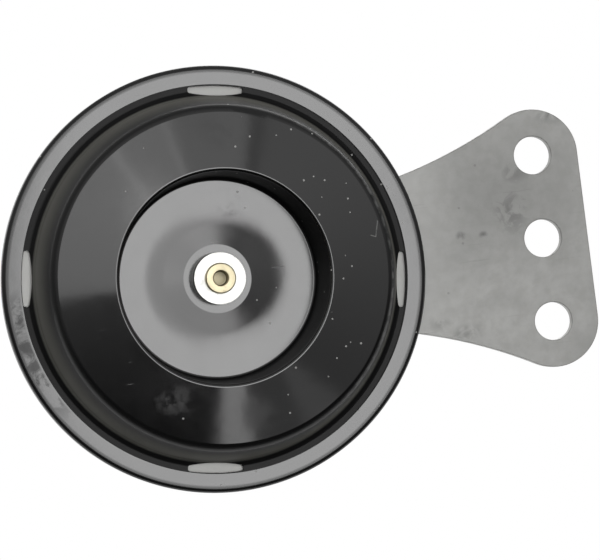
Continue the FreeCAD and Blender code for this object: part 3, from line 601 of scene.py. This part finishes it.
def black_enamel(made):
    """Stoved enamel: glossy hump and rim, duller dish, dust, rubs, and a dull, dark surface of low
    gloss mixed in as painted shade in the groove, on the hump's flank, on the dish's wall, round the
    rim's outer edge and in blotches on the rim's lower left."""
    choice = bpy.context.scene.horn_finish
    place = made.place()
    radius = made.radius(place)
    right, depth, up = made.parts(place)
    cloud = made.noise(place, 55.0, 4.0)
    haze = made.noise(place, 260.0, 5.0, 0.65)
    front = depth.step_mm(4.0, 3.0)

    dust = enamel_dust(made, choice, place, front, haze)
    # Dust, and the shoulder's pale wear, which also serves as a painted highlight on its right side.
    pale = dust.most(enamel_wear_and_highlight(made, choice, place) * 0.75)
    colour = made.blend(pale, choice.enamel, DUST_COLOUR)

    streaks = made.noise(made.place((1.0, 1.0, 14.0), (0.0, 0.6, 0.0)), 90.0, 2.0)
    rubs = streaks.step(0.7, 0.76) * made.noise(place, 120.0, 2.0).step(0.5, 0.62)
    rubbed = haze.step(0.42, 0.6) * sum(patch(right, up, spot) for spot in RUBBED)
    dish = radius.step_mm(22.4, 21.4) * front
    gloss = choice.enamel_gloss + (choice.dish_gloss - choice.enamel_gloss) * dish
    roughness = gloss + 0.08 * (cloud - 0.45) + 0.05 * (haze - 0.5)
    roughness = roughness + 0.25 * rubs + 0.4 * pale + 0.12 * rubbed

    peel = made.noise(place, 1400.0, 2.0)
    wave = made.noise(place, 150.0, 2.0)
    skin = made.bump(wave * 4.5 + peel * 0.45, 0.0000025, 1.0)
    relief = made.bump(dust + rubs * 0.15, 0.00003, 0.5, skin)
    made.shade(base_color=colour, roughness=roughness, ior=1.92, normal=relief)

    # Painted shade: a dull, dark surface is mixed over the groove, the hump's flank, the dish's wall,
    # the rim's outer edge, blotches on the rim's lower left side and a thin share of the rim band.
    groove = radius.step_mm(37.9, 38.4) * radius.step_mm(41.02, 40.95)
    flank = radius.step_mm(34.3, 35.4) * radius.step_mm(38.6, 38.1)
    wall = radius.step_mm(20.7, 20.95) * radius.step_mm(22.2, 21.95)
    band = radius.step_mm(41.0, 41.1) * 0.1
    edge = radius.step_mm(43.2, 43.9) * 0.65
    low_left = (right / radius.most(1e-5)).step(-0.72, -0.9) * up.step_mm(6.0, -4.0)
    low_left = low_left * up.step_mm(-32.0, -18.0)
    blots = made.noise(place, 240.0, 4.0, 0.65, 0.6).step(0.38, 0.58)
    lower_left_shade = radius.step_mm(41.0, 41.6) * low_left * blots * 0.75
    # Painted reflection: a dark streak on the hump's top.
    dark_reflection_streak = made.line_gap(right, up, *PAINTED_DARK_REFLECTION).step_mm(0.8, 0.2) * haze.step(0.3, 0.5) * 0.8
    painted_shade_mix = front * groove.most(flank, wall, edge, lower_left_shade, dark_reflection_streak, band) * 0.92
    settled = radius.step_mm(36.0, 38.4) * radius.step_mm(38.9, 38.3) * (0.75 + 0.5 * cloud)
    shade_film = made.node("ShaderNodeBsdfPrincipled", inputs={
        "Base Color": made.blend(settled, colour, SETTLED_DIRT),
        "Roughness": 0.5 + 0.1 * haze + 0.42 * groove - 0.05 * flank,
        "IOR": 1.42, "Normal": relief})
    return made.mixed(painted_shade_mix, shade_film.value())


# Stains on the bracket: a spot in millimetres and its strength.
BRACKET_STAINS = (
    ((71.0, 7.0, 8.0, 9.0), 0.8), ((73.0, 15.0, 7.0, 5.0), 0.7), ((59.1, 2.8, 2.0, 1.6), 0.9),
    ((64.2, 2.5, 1.8, 1.3), 0.9), ((57.2, -18.6, 5.5, 2.6), 0.7), ((52.0, -16.1, 3.5, 2.2), 0.6),
    ((82.0, 27.0, 5.0, 3.0), 0.6),
)
# Patch of painted shade on the bracket: a spot in millimetres.
BRACKET_SHADE = (69.0, 11.0, 25.0, 21.0)
BRACKET_MOTTLE = (0.36, 0.355, 0.335)
PIT_COLOUR = (0.14, 0.135, 0.13)


def bracket_steel(made):
    """Dull grey plating on rolled strap: cloudy stains, rolling grain, small pits, a few rubs, a
    patch of painted shade, and painted light toward the horn.
    """
    steel = tuple(bpy.context.scene.horn_finish.bracket_steel)
    place = made.place()
    right, _, up = made.parts(place)
    stains = made.noise(place, 34.0, 5.0, 0.6, 0.4)
    mottle = made.noise(place, 420.0, 4.0, 0.6)
    blot = made.noise(place, 300.0, 4.0, 0.6, 0.8).step(0.3, 0.55)
    grain = made.noise(made.place((1.0, 1.0, 22.0), (0.0, 0.08, 0.0)), 160.0, 3.0)
    rub = made.noise(made.place((1.0, 1.0, 30.0), (0.0, 0.5, 0.0)), 60.0, 2.0).step(0.68, 0.74)
    gap, own, _ = made.cells(place, 420.0)
    pit = (gap < 0.12) * (own > 0.93)
    # Painted shade in a patch over the strap, together with the stains.
    stains_and_shade = patch(right, up, BRACKET_SHADE) * (0.4 + stains) * 0.42
    for spot, strength in BRACKET_STAINS:
        stains_and_shade = stains_and_shade.most(patch(right, up, spot) * blot * strength)
    colour = made.blend(stains.step(0.3, 0.7), scaled(steel, 0.8), scaled(steel, 1.14))
    colour = made.blend(0.3 * mottle.step(0.35, 0.7), colour, BRACKET_MOTTLE)
    colour = made.blend(stains_and_shade, colour, scaled(steel, 0.4))
    # Painted light: the strap is made lighter toward the horn.
    colour = made.blend(right.step_mm(62.0, 46.0) * 0.35, colour, scaled(steel, 1.4))
    colour = made.blend(pit * 0.3 + rub * 0.12, colour, PIT_COLOUR)
    relief = made.bump(grain + 0.5 * mottle - pit, 0.00001, 0.6)
    return made.shade(base_color=colour, metallic=0.6, roughness=0.36 + 0.14 * stains + 0.1 * grain,
                      normal=relief)


def turned_plating(colour, roughness, ring_mm, dark_shade_mask):
    """Plated turned metal with fine rings round the horn's axis, and painted shade where the given
    mask says.
    """
    def make(made):
        place = made.place()
        radius = made.radius(place)
        _, depth, _ = made.parts(place)
        rings = (radius * (2 * math.pi / (ring_mm * MM))).sine()
        drift = made.noise(place, 300.0, 3.0)
        spots = made.noise(place, 900.0, 3.0).step(0.6, 0.72)
        tint = made.blend(drift.step(0.3, 0.75), colour, scaled(colour, 0.86))
        tint = made.blend(spots * 0.35, tint, scaled(colour, 0.6))
        # Painted shade: a near-black tint where the mask says.
        tint = made.blend(dark_shade_mask(radius, depth), tint, (0.06, 0.058, 0.055))
        relief = made.bump(rings * 0.5 + drift, 0.000006, 0.5)
        return made.shade(base_color=tint, metallic=1.0,
                          roughness=roughness + 0.12 * drift + 0.1 * spots, normal=relief)
    return make


def washer_side_shade(radius, depth):
    """Painted shade: the upper side of the washer on the boss, made dark."""
    return radius.near(WASHER_R, 0.12) * depth.step_mm(-6.35, -6.25) * depth.step_mm(-4.2, -4.6)


def stud_hole_shade(radius, depth):
    """Painted shade in the hole in the stud's end."""
    return radius.step_mm(1.66, 1.5) * depth.step_mm(-3.0, -4.0) * 0.55


def rolled_metal(colour, roughness, metallic=1.0):
    """Plain sheet or wire metal with rolling grain and soft clouds."""
    def make(made):
        place = made.place()
        grain = made.noise(made.place((1.0, 1.0, 18.0)), 220.0, 3.0)
        cloud = made.noise(place, 130.0, 4.0)
        tint = made.blend(cloud.step(0.3, 0.7), scaled(colour, 0.85), colour)
        return made.shade(base_color=tint, metallic=metallic,
                          roughness=roughness + 0.12 * cloud + 0.06 * grain,
                          normal=made.bump(grain, 0.000006, 0.5))
    return make


def moulded(colour, roughness):
    """Moulded insulating piece or sleeve with a fine, dull skin."""
    def make(made):
        place = made.place()
        skin = made.noise(place, 1500.0, 3.0)
        cloud = made.noise(place, 160.0, 3.0)
        lighter = tuple(min(1.0, part * 1.25 + 0.004) for part in colour)
        return made.shade(base_color=made.blend(cloud.step(0.3, 0.75), colour, lighter),
                          roughness=roughness + 0.15 * (skin - 0.4),
                          normal=made.bump(skin, 0.00001, 0.5))
    return make


def fibrous(colour):
    """Pressed paper or laminate with short fibres."""
    def make(made):
        fibres = made.noise(made.place((1.0, 4.0, 6.0)), 500.0, 5.0, 0.7, 1.0)
        tint = made.blend(fibres.step(0.3, 0.7), scaled(colour, 0.7), colour)
        return made.shade(base_color=tint, roughness=0.75 + 0.15 * fibres,
                          normal=made.bump(fibres, 0.00003, 0.6))
    return make


def wound_copper(made):
    """Enamelled winding: turns side by side along the horn's axis."""
    place = made.place()
    _, depth, _ = made.parts(place)
    turns = (depth * (2 * math.pi / (0.6 * MM))).sine()
    cloud = made.noise(place, 200.0, 3.0)
    tint = made.blend(turns.step(-1.0, 0.2), (0.16, 0.045, 0.015), (0.52, 0.2, 0.08))
    return made.shade(base_color=tint, metallic=0.85, roughness=0.28 + 0.15 * cloud,
                      normal=made.bump(turns, 0.0001, 0.8))


def bright_zinc(made):
    """Bright plating of the washer, nuts and screw."""
    return turned_plating(tuple(bpy.context.scene.horn_finish.zinc), 0.3, 0.18, washer_side_shade)(made)


def yellow_zinc(made):
    """Yellow plating of the stud and of the core with its bolt."""
    colour = tuple(bpy.context.scene.horn_finish.yellow_zinc)
    return turned_plating(colour, 0.34, 0.16, stud_hole_shade)(made)


FINISHES = {
    "black_enamel": black_enamel,
    "bracket_steel": bracket_steel,
    "bright_zinc": bright_zinc,
    "yellow_zinc": yellow_zinc,
    "diaphragm_steel": rolled_metal((0.5, 0.5, 0.485), 0.36, 0.8),
    "gasket_paper": fibrous((0.33, 0.28, 0.21)),
    "bobbin_plastic": moulded((0.7, 0.66, 0.56), 0.45),
    "enamelled_copper": wound_copper,
    "laminate": fibrous((0.3, 0.16, 0.08)),
    "spring_bronze": rolled_metal((0.72, 0.48, 0.25), 0.25),
    "tungsten": rolled_metal((0.42, 0.42, 0.45), 0.35),
    "rivet_brass": rolled_metal((0.76, 0.57, 0.28), 0.28),
    "tinned_brass": rolled_metal((0.78, 0.75, 0.66), 0.25),
    "terminal_plastic": moulded((0.022, 0.022, 0.022), 0.42),
    "wire_sleeve": moulded((0.4, 0.035, 0.03), 0.4),
}
MADE_FINISHES = {}


def plain(slot):
    """Material of a record slot, made on its first use."""
    if slot not in MADE_FINISHES:
        MADE_FINISHES[slot] = FINISHES[slot](Finish(slot))
    return MADE_FINISHES[slot]


# Pieces.

class HORN_OT_front_cover(bpy.types.Operator):
    """Front cover: flange, hump, deep dish with its boss, and four sound slots"""
    bl_idname = "horn.front_cover"
    bl_label = "Front Cover"

    def execute(self, context):
        shape = context.scene.horn_shape
        section = [
            (FLANGE_R, FLANGE, 0), (GROOVE_R, FLANGE, 1.5), (SHOULDER_R, SHOULDER, 2.2),
            (CREST_R, CREST, 0.6), (DISH_R, DISH, 0.7), (RISE_R, DISH, 45.0), (BOSS_R, BOSS, 0.8),
            (STUD_HOLE_R, BOSS, 0),
        ]
        mesh = sheet(section, shape.cover_thickness, shape.around, shape.bend_steps, -1)
        turns = [shape.slot_clock + 2 * math.pi * slot / SLOTS for slot in range(SLOTS)]
        cut(mesh, [self.punch(shape.slot_length / MM / 2, turn) for turn in turns])
        finished(mesh, "cover_pressing", "black_enamel", ["front_cover"])
        return {"FINISHED"}

    def punch(self, half, turn):
        """Punch for one slot: an arc along the rim, a flatter bulge inside and rounded ends."""
        mesh = bmesh.new()
        start = Matrix.Translation(at(0, PUNCH_START)) @ Matrix.Rotation(math.pi / 2, 4, "X")
        bmesh.ops.create_circle(mesh, cap_ends=True, segments=PUNCH_AROUND,
                                radius=SLOT_OUTER_R * MM, matrix=start)
        sides = (
            (at(0, 0, -half), (0, 0, -1)), (at(0, 0, half), (0, 0, 1)),
            (at(SLOT_SIDE_R, 0), (-1, 0, 0)),
        )
        for edge, outside in sides:
            bmesh.ops.bisect_plane(mesh, geom=whole(mesh), dist=SAME_PLANE, plane_co=edge,
                                   plane_no=outside, clear_outer=True)
        self.bulge(mesh, half)
        ends = [vert for vert in mesh.verts if abs(abs(vert.co.z) - half * MM) < SAME_PLACE]
        # Points close to a corner go, so that its rounding has room.
        room = SLOT_CORNER_ROOM * MM
        beside = [vert for vert in mesh.verts
                  if vert not in ends and any((vert.co - end.co).length < room for end in ends)]
        bmesh.ops.dissolve_verts(mesh, verts=beside)
        bmesh.ops.bevel(mesh, geom=ends, offset=SLOT_CORNER * MM, offset_type="OFFSET",
                        segments=SLOT_CORNER_STEPS, profile=0.5, affect="VERTICES",
                        clamp_overlap=True, material=-1)
        walls = bmesh.ops.extrude_face_region(mesh, geom=mesh.faces[:])
        moved = [item for item in walls["geom"] if isinstance(item, bmesh.types.BMVert)]
        bmesh.ops.translate(mesh, verts=moved, vec=(0, PUNCH_REACH * MM, 0))
        bmesh.ops.recalc_face_normals(mesh, faces=mesh.faces[:])
        bmesh.ops.rotate(mesh, verts=mesh.verts[:], cent=at(0, 0),
                         matrix=Matrix.Rotation(-turn, 3, "Y"))
        return mesh

    def bulge(self, mesh, half):
        """Bend the straight inner side of a punch into a flat arc."""
        bulge_r = (half ** 2 + SLOT_BULGE ** 2) / (2 * SLOT_BULGE)
        centre_x = at(SLOT_INNER_R + bulge_r, 0).x
        side_x = at(SLOT_SIDE_R, 0).x
        straight = [edge for edge in mesh.edges
                    if all(abs(vert.co.x - side_x) < SAME_PLACE for vert in edge.verts)]
        bmesh.ops.subdivide_edges(mesh, edges=straight, cuts=BULGE_CUTS,
                                  use_grid_fill=False)
        for vert in mesh.verts:
            if abs(vert.co.x - side_x) < SAME_PLACE:
                vert.co.x = centre_x - math.sqrt((bulge_r * MM) ** 2 - vert.co.z ** 2)


class HORN_OT_rim(bpy.types.Operator):
    """Rim: steel ring rolled over the flanges"""
    bl_idname = "horn.rim"
    bl_label = "Rolled Rim"

    def execute(self, context):
        shape = context.scene.horn_shape
        outer, rear = RIM_R / MM, (RIM_HIGH.y - FRONT_Y) / MM
        section = [
            (RIM_FRONT_LIP_R, 0, 0), (outer, 0, 1.0), (outer, rear, 1.4), (RIM_REAR_LIP_R, rear, 0),
        ]
        mesh = sheet(section, shape.rim_thickness, shape.around, shape.bend_steps, -1)
        finished(mesh, "rolled_rim", "black_enamel", ["rim_ring"])
        return {"FINISHED"}


class HORN_OT_rear_can(bpy.types.Operator):
    """Rear can: stepped pressing with its screw and terminal holes"""
    bl_idname = "horn.rear_can"
    bl_label = "Rear Can"

    def execute(self, context):
        shape = context.scene.horn_shape
        _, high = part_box("rear_housing")
        flange = (RIM_HIGH.y - FRONT_Y - shape.rim_thickness) / MM
        base = (high.y - FRONT_Y) / MM
        section = [
            (FLANGE_R, flange, 0), (CAN_WALL_R, flange, 1.0), (CAN_STEP_R, CAN_STEP, 2.2),
            (CAN_BASE_WALL_R, CAN_STEP, 1.0), (CAN_BASE_R, base, 2.5), (CAN_BOLT_HOLE_R, base, 0),
        ]
        mesh = sheet(section, shape.can_thickness, shape.around, shape.bend_steps, 1)
        cut(mesh, [round_bar(radius, base - HOLE_BEFORE, base + HOLE_BEHIND, right, up)
                   for radius, right, up in (SCREW_HOLE,) + RIVET_HOLES])
        finished(mesh, "can_pressing", "black_enamel", ["rear_housing"])
        return {"FINISHED"}


class HORN_OT_centre(bpy.types.Operator):
    """Centre: the plated washer, its sleeve and the armature with its hollow riveted stud"""
    bl_idname = "horn.centre"
    bl_label = "Washer and Stud"

    def execute(self, context):
        washer = [
            (STUD_HOLE_R, WASHER_FACE, 0), (WASHER_R - 0.08, WASHER_FACE, 0),
            (WASHER_R, WASHER_FACE + 0.08, 0.05), (WASHER_R, BOSS, 0.12), (STUD_HOLE_R, BOSS, 0),
        ]
        finished(turned(washer, True), "stud_washer", "bright_zinc", ["centre_washer"])
        start = BOSS + context.scene.horn_shape.cover_thickness / MM
        seat = (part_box("distance_sleeve")[1].y - FRONT_Y) / MM
        sleeve = [
            (SLEEVE_HOLE_R, start, 0), (SLEEVE_R, start, 0.15), (SLEEVE_R, seat, 0.15),
            (SLEEVE_HOLE_R, seat, 0),
        ]
        finished(turned(sleeve, True), "stud_sleeve", "bright_zinc", ["distance_sleeve"])
        stud = [
            (0.0, HOLLOW_MIDDLE, 0), (HOLLOW_R, HOLLOW_FOOT, 0.3), (HOLLOW_R, STUD_END + 0.15, 0),
            (HOLLOW_R + 0.15, STUD_END, 0.08), (STUD_R - 0.2, STUD_END, 0.1),
            (STUD_R, STUD_END + 0.18, 0.1), (STUD_R, WASHER_FACE, 0), (STUD_NECK_R, WASHER_FACE, 0),
            (STUD_NECK_R, COLLAR_FRONT, 0), (COLLAR_R, COLLAR_FRONT, 0.2),
            (COLLAR_R, COLLAR_REAR, 0.2), (ARMATURE_R, COLLAR_REAR, 0),
            (ARMATURE_R, ARMATURE_REAR, 0.3), (0.0, ARMATURE_REAR, 0),
        ]
        finished(turned(stud, False), "armature_stud", "yellow_zinc", ["armature"])
        return {"FINISHED"}


class HORN_OT_bracket(bpy.types.Operator):
    """Bracket: flared strap with its punched and rounded edges"""
    bl_idname = "horn.bracket"
    bl_label = "Bracket"

    def execute(self, context):
        mesh = copied("mounting_bracket")
        soften(mesh, context.scene.horn_shape.edge_round)
        finished(mesh, "bracket_strap", "bracket_steel", ["mounting_bracket"])
        return {"FINISHED"}


def softened_copies(rows):
    """Pieces that keep their CAD form with rounded edges: node, name, slot, rounding in mm."""
    for node, name, slot, rounding in rows:
        mesh = copied(node)
        soften(mesh, rounding * MM)
        finished(mesh, name, slot, [node])


class HORN_OT_fasteners(bpy.types.Operator):
    """Fasteners on the back: nut, spring washer, core with its bolt, adjusting screw and locknut"""
    bl_idname = "horn.fasteners"
    bl_label = "Rear Fasteners"

    def execute(self, context):
        softened_copies((
            ("mounting_nut", "bracket_nut", "bright_zinc", 0.12),
            ("spring_washer", "split_washer", "bright_zinc", 0.12),
            ("adjusting_locknut", "screw_locknut", "bright_zinc", 0.12),
            ("adjusting_screw", "tone_screw", "bright_zinc", 0.12),
            ("pole_core", "core_and_bolt", "yellow_zinc", 0.12),
        ))
        return {"FINISHED"}


class HORN_OT_terminals(bpy.types.Operator):
    """Terminals: moulded block, two blades and their rivets"""
    bl_idname = "horn.terminals"
    bl_label = "Terminals"

    def execute(self, context):
        softened_copies((
            ("terminal_insulator_outer", "terminal_block", "terminal_plastic", 0.3),
            ("terminal_blade_upper", "blade_upper", "tinned_brass", 0.1),
            ("terminal_blade_lower", "blade_lower", "tinned_brass", 0.1),
            ("terminal_rivets", "terminal_rivet_pair", "rivet_brass", 0.08),
        ))
        return {"FINISHED"}


class HORN_OT_inner_pieces(bpy.types.Operator):
    """Inner pieces: finishes of the CAD nodes that stay as they are"""
    bl_idname = "horn.inner_pieces"
    bl_label = "Inner Pieces"

    def execute(self, context):
        slots = {entry["node"]: entry["material_slot"] for entry in frame["record"]["subparts"]}
        for name, node in frame["nodes"].items():
            if node.hide_render:
                continue
            if not node.material_slots:
                raise RuntimeError("no material slot on " + name)
            for entry in node.material_slots:
                entry.material = plain(slots[name])
        return {"FINISHED"}


# Stage.

# Half the floor's width and how far it comes before the rim's face, in metres.
FLOOR_HALF, FLOOR_BEFORE_RIM = 3.0, 0.01
# The tent's radius in metres, and where it ends behind the rim's face, in millimetres.
TENT_R, TENT_END_MM = 1.75, 1600
# Point beside the horn's axis that the camera looks at, in millimetres.
AIM = (17.694, 0, -2.452)
SENSOR_WIDTH = 36.0
WHITE = (1.0, 1.0, 1.0)
# Share of the white surround that lights surfaces.
SURROUND_LIGHT = 0.55


class HORN_OT_floor(bpy.types.Operator):
    """Floor: plain pale ground under the horn, and the white surround"""
    bl_idname = "horn.floor"
    bl_label = "Floor and Surround"

    def execute(self, context):
        drop = context.scene.horn_stage.floor_drop
        middle = (AXIS_X, FRONT_Y + FLOOR_HALF - FLOOR_BEFORE_RIM, RIM_LOW.z - drop)
        mesh = bmesh.new()
        bmesh.ops.create_grid(mesh, x_segments=1, y_segments=1, size=FLOOR_HALF,
                              matrix=Matrix.Translation(middle))
        floor = held("floor", mesh)
        mesh.free()
        made = Finish("pale_floor")
        cloud = made.noise(made.place(), 3.0)
        pale = made.blend(cloud, (0.78, 0.78, 0.78), (0.82, 0.82, 0.82))
        made.shade(base_color=pale, roughness=0.8)
        white = made.node("ShaderNodeEmission", inputs={"Color": WHITE, "Strength": 1.0})
        floor.data.materials.append(made.mixed(made.seen_directly(), white.value()))
        world = bpy.data.worlds.new("surround")
        context.scene.world = world
        around = Nodes(world)
        strength = around.node("ShaderNodeMapRange", inputs={
            "Value": around.seen_directly(), "To Min": SURROUND_LIGHT, "To Max": 1.0})
        background = around.tree.nodes["Background"]
        around.feed(background.inputs["Color"], WHITE)
        around.feed(background.inputs["Strength"], strength.value("Result"))
        return {"FINISHED"}


# Soft lamps round the horn: direction from its centre in degrees (to the right, up), distance,
# width and height in metres, radiance, lean in degrees (its top to the left) and form.
LAMPS = {
    "front_softbox": (1.7, 0.0, 1.3, 0.6, 0.93, 1.8, 9.0, "ELLIPSE"),
    "softbox_core": (8.7, -0.6, 1.28, 0.28, 0.47, 1.6, 0.0, "ELLIPSE"),
    "left_card": (-16.0, 12.6, 1.5, 0.53, 0.66, 0.85, 0.0, "RECTANGLE"),
    "upper_left_card": (-1.7, 19.0, 1.5, 0.22, 0.32, 0.75, 0.0, "RECTANGLE"),
    "upper_card": (8.7, 19.0, 1.5, 0.325, 0.32, 0.48, 0.0, "RECTANGLE"),
    "right_card": (31.0, 0.0, 1.4, 0.66, 1.3, 0.19, 0.0, "RECTANGLE"),
    "low_card": (14.0, -22.0, 1.5, 0.5, 0.2, 0.25, 0.0, "RECTANGLE"),
    "low_glow": (7.2, -22.0, 1.4, 0.115, 0.13, 1.3, 0.0, "RECTANGLE"),
    "back_left": (-150.0, 30.0, 1.2, 0.9, 0.9, 0.8, 0.0, "RECTANGLE"),
    "back_right": (150.0, 35.0, 1.2, 0.9, 0.9, 2.2, 0.0, "RECTANGLE"),
}


def towards(right_deg, up_deg, distance, lean_deg):
    """Place of a lamp, and its turn to face the horn."""
    right, up = math.radians(right_deg), math.radians(up_deg)
    away = Vector((math.sin(right) * math.cos(up), -math.cos(right) * math.cos(up), math.sin(up)))
    turn = away.to_track_quat("Z", "Y").to_matrix().to_4x4()
    lean = Matrix.Rotation(math.radians(lean_deg), 4, "Z")
    return Matrix.Translation(at(0, 0) + away * distance) @ turn @ lean


class HORN_OT_lights(bpy.types.Operator):
    """Lights: soft lamps in a grey tent that is open behind the horn"""
    bl_idname = "horn.lights"
    bl_label = "Lights"

    def execute(self, context):
        level = context.scene.horn_stage.light_level
        for name, (right, up, distance, width, height, radiance, lean, form) in LAMPS.items():
            lamp = bpy.data.lights.new(name, "AREA")
            lamp.shape = form
            lamp.size = width
            lamp.size_y = height
            area = width * height * (math.pi / 4 if form == "ELLIPSE" else 1)
            lamp.energy = radiance * level * math.pi * area
            holder = bpy.data.objects.new(name, lamp)
            holder.matrix_world = towards(right, up, distance, lean)
            holder.visible_camera = False
            context.scene.collection.objects.link(holder)
        self.tent(level)
        context.scene.view_settings.view_transform = "Standard"
        return {"FINISHED"}

    def tent(self, level):
        """Round tent whose cloth glows more toward its top."""
        mesh = bmesh.new()
        bmesh.ops.create_uvsphere(mesh, u_segments=48, v_segments=24, radius=TENT_R,
                                  matrix=Matrix.Translation(at(0, 0)))
        bmesh.ops.bisect_plane(mesh, geom=whole(mesh), plane_co=at(0, TENT_END_MM), plane_no=AXIS,
                               clear_outer=True)
        bmesh.ops.reverse_faces(mesh, faces=mesh.faces[:])
        tent = held("grey_tent", mesh)
        mesh.free()
        cloth = Finish("tent_cloth")
        _, _, up = cloth.parts(cloth.place())
        glow = cloth.blend(up.step(-0.75, 0.65), (0.02, 0.02, 0.02), (0.36, 0.36, 0.36))
        light = cloth.node("ShaderNodeEmission", inputs={"Color": glow, "Strength": level})
        tent.data.materials.append(cloth.mixed(1.0, light.value()))
        tent.visible_camera = False


class HORN_OT_camera(bpy.types.Operator):
    """Camera: long lens in front of the cover, a little to the left"""
    bl_idname = "horn.camera"
    bl_label = "Camera"

    def execute(self, context):
        stage = context.scene.horn_stage
        turn, rise, roll = stage.camera_turn, stage.camera_rise, stage.camera_roll
        ahead = Vector((-math.sin(turn) * math.cos(rise), math.cos(turn) * math.cos(rise),
                        -math.sin(rise)))
        level = Vector((math.cos(turn), math.sin(turn), 0))
        upward = level.cross(ahead)
        right = math.cos(roll) * level - math.sin(roll) * upward
        up = math.sin(roll) * level + math.cos(roll) * upward
        data = bpy.data.cameras.new("camera")
        data.lens = stage.camera_lens
        data.sensor_width = SENSOR_WIDTH
        data.clip_start, data.clip_end = 0.01, 20.0
        camera = bpy.data.objects.new("camera", data)
        place = at(*AIM) - ahead * stage.camera_distance
        turned_to = Matrix((right, up, -ahead)).transposed().to_4x4()
        camera.matrix_world = Matrix.Translation(place) @ turned_to
        context.scene.collection.objects.link(camera)
        context.scene.camera = camera
        return {"FINISHED"}


class VIEW3D_PT_horn(bpy.types.Panel):
    """Steps that build the disc horn"""
    bl_label = "Disc Horn"
    bl_idname = "VIEW3D_PT_horn"
    bl_space_type = "VIEW_3D"
    bl_region_type = "UI"
    bl_category = "Disc Horn"

    def draw(self, context):
        for group in ("horn_shape", "horn_finish", "horn_stage"):
            settings = getattr(context.scene, group)
            box = self.layout.box()
            for name in settings.bl_rna.properties.keys():
                if name not in ("rna_type", "name"):
                    box.prop(settings, name)
        for operator in STEPS:
            self.layout.operator(operator.bl_idname)


GROUPS = (HornShape, HornFinish, HornStage)
STEPS = (
    HORN_OT_camera, HORN_OT_front_cover, HORN_OT_rim, HORN_OT_rear_can, HORN_OT_centre,
    HORN_OT_bracket, HORN_OT_fasteners, HORN_OT_terminals, HORN_OT_inner_pieces, HORN_OT_floor,
    HORN_OT_lights,
)


def register():
    for one in GROUPS + STEPS + (VIEW3D_PT_horn,):
        bpy.utils.register_class(one)
    bpy.types.Scene.horn_shape = PointerProperty(type=HornShape)
    bpy.types.Scene.horn_finish = PointerProperty(type=HornFinish)
    bpy.types.Scene.horn_stage = PointerProperty(type=HornStage)


def unregister():
    del bpy.types.Scene.horn_stage
    del bpy.types.Scene.horn_finish
    del bpy.types.Scene.horn_shape
    for one in reversed(GROUPS + STEPS + (VIEW3D_PT_horn,)):
        bpy.utils.unregister_class(one)


def main():
    register()
    bpy.ops.horn.camera()
    bpy.ops.horn.front_cover()
    bpy.ops.horn.rim()
    bpy.ops.horn.rear_can()
    bpy.ops.horn.centre()
    bpy.ops.horn.bracket()
    bpy.ops.horn.fasteners()
    bpy.ops.horn.terminals()
    bpy.ops.horn.inner_pieces()
    bpy.ops.horn.floor()
    bpy.ops.horn.lights()


if __name__ == "__main__":
    main()
